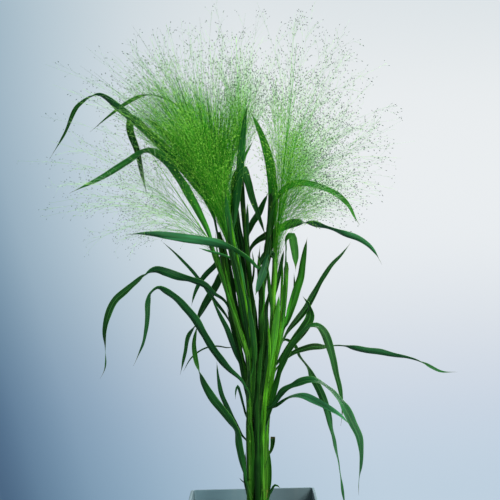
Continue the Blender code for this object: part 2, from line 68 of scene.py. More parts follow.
class Finish:
    """A material and the shader nodes that colour it. Their inputs take values or other nodes' sockets."""

    def __init__(self, name, roughness, specular):
        self.material = bpy.data.materials.new(name)
        self.material.use_nodes = True
        self.tree = self.material.node_tree
        self.shader = self.tree.nodes["Principled BSDF"]
        self.give(self.shader, {"Roughness": roughness, "Specular IOR Level": specular})

    def give(self, made, inputs):
        """Fills a node's inputs, each told by its name or number."""
        for key, value in inputs.items():
            if isinstance(value, bpy.types.NodeSocket):
                self.tree.links.new(value, made.inputs[key])
            else:
                made.inputs[key].default_value = value

    def node(self, kind, inputs, **settings):
        made = self.tree.nodes.new("ShaderNode" + kind)
        for name, value in settings.items():
            setattr(made, name, value)
        self.give(made, inputs)
        return made

    def sums(self, operation, *values):
        return self.node("Math", dict(enumerate(values)), operation=operation).outputs[0]

    def times(self, product, *others):
        for other in others:
            product = self.sums("MULTIPLY", product, other)
        return product

    def named(self, attribute):
        return self.node("Attribute", {}, attribute_name=attribute).outputs["Fac"]

    def spot(self, axis, kind="Object"):
        """Where a point is on an axis or, for the kind Normal, how far its surface faces that way."""
        return self.node("SeparateXYZ", {0: self.node("TexCoord", {}).outputs[kind]}).outputs[axis]

    def stretch(self, value, low, high, new_low=0.0, new_high=1.0):
        """The value carried from low..high to new_low..new_high, smoothly and no further."""
        ends = {"Value": value, "From Min": low, "From Max": high, "To Min": new_low, "To Max": new_high}
        return self.node("MapRange", ends, interpolation_type="SMOOTHSTEP").outputs[0]

    def noise(self, scale, detail, stretch=(1, 1, 1)):
        """Noise from 0 to 1 over the piece's own space, in cycles a metre."""
        spot = self.node("TexCoord", {}).outputs["Object"]
        spread = self.node("Mapping", {0: spot, "Scale": stretch}).outputs[0]
        return self.node("TexNoise", {"Vector": spread, "Scale": scale, "Detail": detail}).outputs[0]

    def flow(self, scale, detail, **spreads):
        """Noise from 0 to 1 over three attributes of the piece, each drawn out by its number."""
        spread = {i: self.times(self.named(key), spreads[key]) for i, key in enumerate(spreads)}
        spread = self.node("CombineXYZ", spread).outputs[0]
        return self.node("TexNoise", {"Vector": spread, "Scale": scale, "Detail": detail}).outputs[0]

    def ramp(self, value, stops, interpolation="LINEAR"):
        """The tone at a value from 0 to 1, between stops of a place and a tone."""
        made = self.node("ValToRGB", {0: value})
        made.color_ramp.interpolation = interpolation
        elements = made.color_ramp.elements
        for i, (stop, tone) in enumerate(stops):
            element = elements[i] if i < 2 else elements.new(stop)
            element.position, element.color = stop, tone
        return made.outputs[0]

    def blend(self, share, first, second, way="MIX"):
        return self.node("Mix", {0: share, 6: first, 7: second}, data_type="RGBA", blend_type=way).outputs[2]

    def layer(self, body, tone, *shares):
        """The body with a tone laid over it, as strong as the product of the shares."""
        return self.blend(self.times(*shares), body, tone)

    def raise_by(self, height, distance, strength=1.0):
        bump = self.node("Bump", {"Height": height, "Distance": distance, "Strength": strength})
        self.give(self.shader, {"Normal": bump.outputs[0]})

    def paint(self, body, **others):
        self.give(self.shader, {"Base Color": body, **others})
        return self.material


def mesh_of(name, points, faces, finishes, smooth=True, **values):
    """A new object in the scene. Each further value is kept at its points as an attribute."""
    mesh = bpy.data.meshes.new(name)
    mesh.from_pydata(np.reshape(points, (-1, 3)), [], faces)
    for key, value in values.items():
        layer = mesh.attributes.new(key, "FLOAT", "POINT")
        value = np.broadcast_to(value, np.shape(points)[:-1])
        layer.data.foreach_set("value", value.astype(np.float32).ravel())
    for finish in finishes:
        mesh.materials.append(finish)
    mesh.polygons.foreach_set("use_smooth", [smooth] * len(mesh.polygons))
    made = bpy.data.objects.new(name, mesh)
    bpy.context.scene.collection.objects.link(made)
    return made


def grid_faces(rows, around):
    """Triangles of a closed tube with two caps."""
    low = np.arange(rows - 1)[:, None] * around
    here, there = (low + np.arange(around)).ravel(), (low + (np.arange(around) + 1) % around).ravel()
    halves = (here, there, there + around), (here, there + around, here + around)
    sides = [np.column_stack(corners) for corners in halves]
    fan = np.column_stack([np.zeros(around - 2, int), np.arange(2, around), np.arange(1, around - 1)])
    return np.concatenate([*sides, fan, fan[:, ::-1] + (rows - 1) * around])


def between(low, high, share):
    return low + (high - low) * share


def square_ring(width, height, corner):
    """A level square with round corners."""
    reach = width / 2 - corner
    turns = np.radians(90 * (np.arange(4)[:, None] - 1 + np.arange(POT_CORNER_STEPS + 1) / POT_CORNER_STEPS))
    x = reach * np.array([[1], [1], [-1], [-1]]) + corner * np.cos(turns)
    y = reach * np.array([[-1], [1], [1], [-1]]) + corner * np.sin(turns)
    return np.stack([x, y, np.full_like(x, height)], axis=-1).reshape(-1, 3)


def pot_width_at(height):
    return between(POT_FOOT_WIDTH, POT_WIDTH, height / POT_HEIGHT)


def planter_rings():
    """The tub's section as level rings: from its foot up outside, over its rim and down to its floor."""
    eases = list(zip(POT_EASE * (1 - np.sin(EASE_TURNS)), POT_EASE * (1 - np.cos(EASE_TURNS))))
    rim_eases = [(back, POT_HEIGHT - drop) for back, drop in eases]
    rings = [(pot_width_at(0) - 2 * back, height, POT_CORNER - back) for back, height in eases]
    rings += [(pot_width_at(up) - 2 * back, up, POT_CORNER - back) for back, up in rim_eases[::-1]]
    for back, height in [(back - POT_WALL, height) for back, height in rim_eases] + [(-POT_WALL, POT_WALL)]:
        rings.append((pot_width_at(height) + 2 * back, height, POT_CORNER + back))
    return np.array([square_ring(*ring) for ring in rings])


def planter_finish():
    """Faintly clouded, dusty in runs. Inside, painted shade darkens the right wall and the back one at the
    right, and painted light brightens the back one at the left.
    """
    made = Finish("clouded grey-green plastic", 0.5, 0.4)
    cloud = made.noise(9, 5)
    near_rim = made.stretch(made.spot("Z"), POT_HEIGHT - PLANTER_DUSTY_RIM, POT_HEIGHT)
    runs = made.stretch(made.noise(60, 4, (1, 1, 0.08)), 0.5, 0.72)
    body = made.blend(cloud, PLANTER_BLUE, PLANTER_GREEN)
    body = made.layer(body, PLANTER_DUST, runs, made.sums("MULTIPLY_ADD", near_rim, 0.15, 0.08))
    x, y = made.spot("X"), made.spot("Y")
    faces_left, faces_front = (made.stretch(made.spot(axis, "Normal"), -0.5, -0.8) for axis in "XY")
    # painted shade on the inner right wall and the inner back wall's right, painted light on the back wall's
    # left
    right_wall = made.times(faces_left, made.stretch(x, 0.0, 40 * MM))
    back_wall = made.times(faces_front, made.stretch(y, 40 * MM, 60 * MM))
    body = made.layer(body, PLANTER_PAINTED_LIGHT, back_wall, made.stretch(x, 20 * MM, -60 * MM, 0.0, 0.6))
    body = made.layer(body, PLANTER_PAINTED_SHADE, back_wall, made.stretch(x, -5 * MM, 70 * MM, 0.0, 0.4))
    body = made.layer(body, PLANTER_PAINTED_SHADE, right_wall, 0.65)
    made.raise_by(made.noise(900, 2), 0.05 * MM, 0.5)
    return made.paint(body, Roughness=made.stretch(cloud, 0.3, 0.7, 0.42, 0.6))


planter_shape = planter_rings()
planter_faces = grid_faces(*planter_shape.shape[:2]).tolist()
planter = mesh_of("planter_tub", planter_shape, planter_faces, [planter_finish()])
planter.data.set_sharp_from_angle(angle=POT_SHARP)
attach(planter, "root")
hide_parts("planter")


# The soil: a damp potting mix of peat, bark chips and a little perlite. It is filled to a finger's breadth
# below the rim, and watering has settled it into a crumbly, uneven top.
SOIL_LOW, SOIL_TOP = (corner[2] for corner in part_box("soil"))
SOIL_GAP, SOIL_SWELL = 0.3 * MM, 2.2 * MM
SOIL_GRID = 56
SOIL_CROSS_WAVES = ((61, 1.1), (47, -0.4))
SOIL_WAVES = [
    # height, waves in x and in y, start: waves in radians a metre, beside the crossed ones, 1 high
    (0.6, 118, -90, 0.0), (0.5, 140, 205, math.pi / 2),
]
SOIL_WAVES_HEIGHT, SOIL_SINK = 2.1, 0.55
LUMP_SHRINK, LUMP_TILT, LUMP_RISE = (0.65, 1.1), 0.5, 0.2
LUMP_SIDES = [(0, 1, 3, 2), (4, 6, 7, 5), (0, 4, 5, 1), (2, 3, 7, 6), (0, 2, 6, 4), (1, 5, 7, 3)]
SOIL_GRADES = [
    # how many, smallest and largest in mm, shape: crumbs of peat, bark chips and perlite
    (900, 1.6, 5.0, (1, 0.9, 0.8)), (170, 5, 13, (1, 0.5, 0.22)), (70, 1.8, 4, (1, 0.9, 0.9)),
]
SOIL_DARK, SOIL_LIGHT = (0.012, 0.008, 0.005, 1), (0.055, 0.034, 0.019, 1)
BARK_DARK, BARK_LIGHT = (0.045, 0.022, 0.011, 1), (0.16, 0.085, 0.045, 1)
PERLITE_WHITE = (0.62, 0.60, 0.55, 1)


def earth_finish(name, dark, painted_light, scale, depth):
    made = Finish(name, 0.95, 0.2)
    grain = made.noise(scale, 6)
    made.raise_by(grain, depth)
    return made.paint(made.blend(made.stretch(grain, 0.35, 0.68), dark, painted_light))


def soil_height(x, y):
    """How far the top swells at a point: a few slow waves over each other."""
    (in_x, start_x), (in_y, start_y) = SOIL_CROSS_WAVES
    slow = np.sin(in_x * x + start_x) * np.cos(in_y * y + start_y)
    for height, in_x, in_y, start in SOIL_WAVES:
        slow = slow + height * np.sin(in_x * x + in_y * y + start)
    return SOIL_SWELL * (slow / SOIL_WAVES_HEIGHT - SOIL_SINK)


def lump(centre, sizes, turn, random):
    """A rough closed lump with eight corners: a cube pulled about."""
    corners = np.array([(x, y, z) for x in (-1, 1) for y in (-1, 1) for z in (-1, 1)], float)
    corners = corners * sizes / 2 * random.uniform(*LUMP_SHRINK, (8, 3))
    tilt = Matrix.Rotation(random.uniform(-LUMP_TILT, LUMP_TILT), 3, "X")
    return corners @ np.array(Matrix.Rotation(turn, 3, "Z") @ tilt).T + centre


def soil_bed():
    """The settled top, closed at its sides and foot, and the grains that lie in it."""
    random = np.random.default_rng(11)
    half, low_half = (pot_width_at(level) / 2 - POT_WALL - SOIL_GAP for level in (SOIL_TOP, SOIL_LOW))
    steps = np.linspace(-half, half, SOIL_GRID)
    x, y = np.meshgrid(steps, steps, indexing="ij")
    top = np.stack([x, y, SOIL_TOP + soil_height(x, y)], axis=-1).reshape(-1, 3)
    spot = np.arange(SOIL_GRID ** 2).reshape(SOIL_GRID, SOIL_GRID)
    corners = [spot[:-1, :-1], spot[1:, :-1], spot[1:, 1:], spot[:-1, 1:]]
    faces = np.stack(corners, axis=-1).reshape(-1, 4).tolist()
    edge = np.array([*spot[:-1, 0], *spot[-1, :-1], *spot[:0:-1, -1], *spot[0, :0:-1]])
    under = len(top) + np.arange(len(edge))
    faces += np.column_stack([edge, under, np.roll(under, -1), np.roll(edge, -1)]).tolist()
    faces.append(under[::-1].tolist())
    points = [*top, *(top[edge] * (low_half / half, low_half / half, 0) + (0, 0, SOIL_LOW))]
    kinds = [0] * len(faces)
    for kind, (count, small, large, shape) in enumerate(SOIL_GRADES):
        for _ in range(count):
            size = random.uniform(small, large) * MM
            x, y = random.uniform(-half + size, half - size, 2)
            centre = (x, y, SOIL_TOP + soil_height(x, y) + size * shape[2] * LUMP_RISE)
            faces.extend([[len(points) + corner for corner in side] for side in LUMP_SIDES])
            points.extend(lump(centre, size * np.array(shape), random.uniform(0, math.tau), random))
            kinds.extend([kind] * len(LUMP_SIDES))
    finishes = [
        earth_finish("damp peat", SOIL_DARK, SOIL_LIGHT, 420, 0.8 * MM),
        earth_finish("bark chips", BARK_DARK, BARK_LIGHT, 300, 0.4 * MM),
        earth_finish("perlite", PERLITE_WHITE, PERLITE_WHITE, 700, 0.3 * MM),
    ]
    made = mesh_of("soil_bed", points, faces, finishes, smooth=False)
    made.data.polygons.foreach_set("material_index", kinds)
    return made


soil = soil_bed()
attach(soil, "root")
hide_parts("soil")


# The culms: eight jointed grass stems that rise from one crown, hollow and striped, wrapped in leaf sheaths
# for most of their length. Each joint is a slightly swollen ring, paler than the stem. They are rooted in
# the soil and lean apart as they rise.
EYE_X, EYE_DISTANCE, EYE_ABOVE_RIM = 4.4 * MM, 2000 * MM, 375 * MM
SIGHT_X = -3 * MM
PICTURE_TURN = math.radians(1.3)
CULM_FOOT_RADIUS, CULM_TOP_RADIUS = 4.2 * MM, 3 * MM
CULM_STEP, CULM_SIDES, CULM_FINE = 3.5 * MM, 14, 240
CULM_SETTLE = 4 * MM
CULM_END_SHARES = (0.8, 0.5)
CULM_GRAIN, CULM_RIBS = 50 * MM, 11
JOINT_SPACING, JOINT_FIRST = 84 * MM, (0.15, 0.6)
JOINT_LENGTH, JOINT_SWELL, SHEATH_SWELL = 2.6 * MM, 0.12, 0.10
SHEATH_LAP, LAP_TURN, LAP_LATE, LAP_DRIFT = 0.09, 0.5, 0.3, 0.12
SHEATH_SWELLS, LAP_EDGE, LAP_RISE = (0.05, 0.9), (0.9, 1.0), (0.05, 0.2)
CULM_DEEP, CULM_BRIGHT = (0.003, 0.026, 0.003, 1), (0.065, 0.34, 0.010, 1)
CULM_STRIPE, JOINT_PALE = (0.15, 0.47, 0.035, 1), (0.20, 0.34, 0.07, 1)
CULM_SCAR, SCAR_TOP = (0.21, 0.17, 0.045, 1), 150 * MM
CULM_FOOT_TONE, CULM_DULL_TO = 0.7, (110 * MM, 230 * MM)
CULMS = {
    # name: (how bright it is, a painted light and shade from 0, deep green in the heart of the clump, to 1;
    #        depth at the foot and at the top, route). A route point is (x, h) in mm.
    "culm_left": (0.35, 0, 6, [
        (-2, -20), (-1.5, 60), (-2, 120), (-6, 172), (-17, 217), (-27, 262), (-34.5, 300), (-40.5, 337),
        (-45, 372), (-49.5, 402)]),
    "culm_left_front": (0.6, -9, -18, [
        (-2, -20), (-3.5, 60), (-4, 120), (-3.5, 170), (-5, 210), (-15, 242), (-28.5, 285), (-48, 345),
        (-64.5, 390)]),
    "culm_centre": (0.08, 0, -6, [
        (8, -20), (8, 90), (5, 150), (-3.5, 225), (-12, 300), (-19.5, 345), (-27, 382), (-32, 410)]),
    "culm_rear_left": (0.25, 9, 16, [
        (2, -20), (1, 90), (-2, 150), (-7.5, 225), (-15, 285), (-24, 337), (-31.5, 375), (-37.5, 417)]),
    "culm_rear": (0.1, 9, 24, [
        (11, -20), (12, 90), (10.5, 150), (6, 225), (0, 285), (-4.5, 337), (-9, 390), (-13.5, 442),
        (-16.5, 487)]),
    "culm_front": (0.05, -16, -16, [
        (9, -20), (9.5, 90), (12, 150), (14.5, 225), (13.5, 285), (16.5, 330), (22, 375), (26, 420),
        (28, 460)]),
    "culm_right": (1.0, -9, -12, [
        (17, -20), (15, 105), (21, 162), (28.5, 207), (31, 255), (32, 306), (34.5, 345), (36, 390),
        (39, 417)]),
    "culm_far_right": (0.8, 0, 0, [
        (20.5, -20), (20.5, 75), (24.5, 150), (33, 207), (40.5, 237), (46.5, 276), (49.5, 306), (52, 357)]),
}


def place(x, h, depth):
    """The point seen at x and h (mm) on the upright plane through the pot's middle, moved to a depth (mm)."""
    across, up = x * MM - SIGHT_X, h * MM - EYE_ABOVE_RIM
    cos, sin = math.cos(PICTURE_TURN), math.sin(PICTURE_TURN)
    stretch = 1 + depth * MM / EYE_DISTANCE
    seen_x = EYE_X + (across * cos + up * sin) * stretch
    seen_z = POT_HEIGHT + EYE_ABOVE_RIM + (up * cos - across * sin) * stretch
    return np.stack([seen_x, depth * MM + 0 * seen_x, seen_z], axis=-1)


def run_along(points):
    """How far along a line each of its points is."""
    return np.concatenate([[0], np.cumsum(np.linalg.norm(np.diff(points, axis=0), axis=1))])


def along(rows, count):
    """count + 1 rows at even steps of a smooth curve through the rows, which start with x, y and z."""
    rows = np.array(rows, float)
    knots = run_along(rows[:, :3])
    slopes = np.gradient(rows, knots, axis=0)
    stops = np.linspace(0, knots[-1], count + 1)
    i = np.clip(np.searchsorted(knots, stops, side="right") - 1, 0, len(knots) - 2)
    gap = np.diff(knots)[i][:, None]
    u = (stops - knots[i])[:, None] / gap
    near = rows[i] * (1 + 2 * u) * (1 - u) ** 2 + slopes[i] * gap * u * (1 - u) ** 2
    return near + rows[i + 1] * u ** 2 * (3 - 2 * u) + slopes[i + 1] * gap * u ** 2 * (u - 1)


def unit(rows):
    return rows / np.linalg.norm(rows, axis=-1, keepdims=True)


def ease(values, low, high):
    """0 below low, 1 above high and smooth between them."""
    share = np.clip((values - low) / (high - low), 0, 1)
    return share * share * (3 - 2 * share)


def culm_line(name, count):
    """count + 1 points up the middle of a culm, from just above the soil."""
    tone, foot_depth, top_depth, route = CULMS[name]
    points = [place(x, h, between(foot_depth, top_depth, max(h, 0) / route[-1][1])) for x, h in route]
    points[0][2] = SOIL_TOP + SOIL_GAP
    return along(points, count)


def culm_radius(share):
    return between(CULM_FOOT_RADIUS, CULM_TOP_RADIUS, share)


def culm_tone(name, height):
    """How bright a culm and its sheaths are at a height: the culm's painted light and shade, duller near the
    soil.
    """
    return CULMS[name][0] * between(CULM_FOOT_TONE, 1, ease(height - POT_HEIGHT, *CULM_DULL_TO))


def culm_finish():
    """Deep to bright green in streaks and painted light and shade, striped on its ribs, pale at joints and
    laps, scarred at its foot.
    """
    made = Finish("sheathed green culm", 0.45, 0.12)
    tone = made.named("tone")
    ribs = made.sums("SINE", made.times(made.named("around"), math.tau * CULM_RIBS))
    streaks = made.stretch(made.flow(3.0, 5.0, around=5.0, height=0.8, tone=30.0), 0.36, 0.64, 0.1, 1.0)
    # each culm's tone, its painted light and shade, sets how much of its bright green shows
    body = made.blend(made.times(streaks, tone), CULM_DEEP, CULM_BRIGHT)
    body = made.layer(body, CULM_STRIPE, made.stretch(ribs, 0.2, 1.0), tone, 0.6)
    body = made.layer(body, CULM_STRIPE, made.named("lap"), 0.5)
    body = made.layer(body, JOINT_PALE, made.named("joint"), 0.12)
    low = made.stretch(made.spot("Z"), POT_HEIGHT + SCAR_TOP, POT_HEIGHT + SCAR_TOP / 2)
    scars = made.stretch(made.noise(150, 3, (1, 1, 0.35)), 0.54, 0.66)
    made.raise_by(ribs, 0.12 * MM, 0.6)
    return made.paint(made.layer(body, CULM_SCAR, scars, low, 0.6))


def make_culm(name, finish, random):
    length = run_along(culm_line(name, CULM_FINE))[-1]
    count = int(length / CULM_STEP)
    line = culm_line(name, count)
    line[0, 2] = SOIL_TOP - CULM_SETTLE
    ahead = unit(np.gradient(line, axis=0))
    first = unit(np.cross((0.0, 1.0, 0.0), ahead))
    second = np.cross(ahead, first)
    run = np.linspace(0, length, count + 1)[:, None]
    joints = np.arange(random.uniform(*JOINT_FIRST) * JOINT_SPACING, length, JOINT_SPACING)
    joint = np.exp(-(((run - joints) / JOINT_LENGTH) ** 2)).max(axis=1, keepdims=True)
    above = np.where(run > joints, run - joints, JOINT_SPACING).min(axis=1, keepdims=True) / JOINT_SPACING
    swell = JOINT_SWELL * joint + SHEATH_SWELL * ease(above, *SHEATH_SWELLS)
    radius = culm_radius(run / length) * (1 + swell)
    radius[-2:, 0] *= CULM_END_SHARES
    turns = np.arange(CULM_SIDES) / CULM_SIDES
    part = run / JOINT_SPACING
    from_lap = (turns - (random.uniform(0, 1) + LAP_TURN * np.floor(part + LAP_LATE) + LAP_DRIFT * part)) % 1
    reach = (radius * (1 + SHEATH_LAP * (1 - from_lap)))[..., None]
    turn = (math.tau * turns)[:, None]
    points = line[:, None] + reach * (np.cos(turn) * first[:, None] + np.sin(turn) * second[:, None])
    made = mesh_of(
        name + "_stem", points, grid_faces(count + 1, CULM_SIDES).tolist(), [finish],
        around=np.minimum(turns, 1 - turns) * 2, height=run / CULM_GRAIN, joint=joint,
        lap=ease(1 - from_lap, *LAP_EDGE) * ease(above, *LAP_RISE), tone=culm_tone(name, points[:, :1, 2]))
    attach(made, "root")
    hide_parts(name)


culm_green = culm_finish()
joint_places = np.random.default_rng(21)
for culm_name in CULMS:
    make_culm(culm_name, culm_green, joint_places)


# The leaves: 45 grass leaves. Each has a sheath rolled round its culm and a long blade that leaves it at a
# collar. A blade is a thin tough ribbon with a pale midrib and fine veins, folded at its base, rippled and
# twisted further out. It grows from its joint and is held there only by the sheath.
LEAF_STEP, LEAF_FEWEST, LEAF_ACROSS = 4 * MM, 8, 9
LEAF_THICK, LEAF_EDGE_THICK, LEAF_KEEL_WIDTH = 0.75 * MM, 0.26 * MM, 0.16
LEAF_BASE_SHARE, LEAF_BROAD_AT, LEAF_TIP_SHARE, LEAF_TAPER_POWER = 0.45, 0.3, 0.08, 2.8
LEAF_POINTED, LEAF_TORN, LEAF_END = 0.92, 0.1, (0.9, 1.0)
LEAF_PAST_END = 1.001
LEAF_STAND_OFF, LEAF_DEPTH_POWER = 1.2 * MM, 0.8
RIPPLE_HEIGHT, RIPPLE_START = 0.9 * MM, (30 * MM, 90 * MM)
RIPPLES, RIPPLE_STARTS = ((1.0, 13 * MM, 1.3), (0.6, 5.7 * MM, 2.1)), 6
BASE_FOLD, BLADE_FOLD, TIP_FOLD = math.radians(62), math.radians(17), math.radians(24)
BASE_FOLD_LENGTH, TIP_FOLD_FROM, FOLD_ROUND = 70 * MM, 0.6, 1.25
BLADE_TURNS_UP, UP_KEENNESS = (20 * MM, 80 * MM), 2.5
SHEATH_LENGTH, SHEATH_LENGTHS, CULM_USUAL_LENGTH = 74 * MM, (0.75, 1.1), 500 * MM
SHEATH_OFFSET, SHEATH_CLOSE = 1.0 * MM, 0.45 * MM
SHEATH_WRAP, COLLAR_WRAP = math.radians(152), math.radians(70)
COLLAR_FROM, COLLAR_BLEND, COLLAR_OPENS = 1 * MM, 20 * MM, (-16 * MM, 10 * MM)
LEAF_GRAIN, LEAF_VEINS = 100 * MM, 46.0
LEAF_FRESHER, LEAF_PALE_FROM, LEAF_KEEL_ENDS = 0.08, (0.25, 0.5), (0.3, 1)
DRY_TIP, DRY_TIP_FROM = 0.8, (0.93, 1.0)
# shares of a blade's length where its painted light and shade are given
PAINTED_LIGHT_AT = (0.02, 0.2, 0.5, 0.85)
BAND_LIGHT = (0.55, 1.45)
LEAF_DARK, LEAF_FRESH, LEAF_VIVID = (0.002, 0.024, 0.005, 1), (0.036, 0.24, 0.007, 1), (0.120, 0.52, 0.015, 1)
LEAF_BLUE, LEAF_PALE = (0.008, 0.078, 0.036, 1), (0.060, 0.29, 0.120, 1)
LEAF_RIB, LEAF_MARGIN, LEAF_DRY = (0.050, 0.21, 0.035, 1), (0.12, 0.36, 0.05, 1), (0.16, 0.13, 0.05, 1)
SHEATH_DEEP, SHEATH_LIGHT = (0.003, 0.032, 0.003, 1), (0.115, 0.42, 0.025, 1)
RIGHT, BACK, LEFT, FRONT = 0, 90, 180, 270
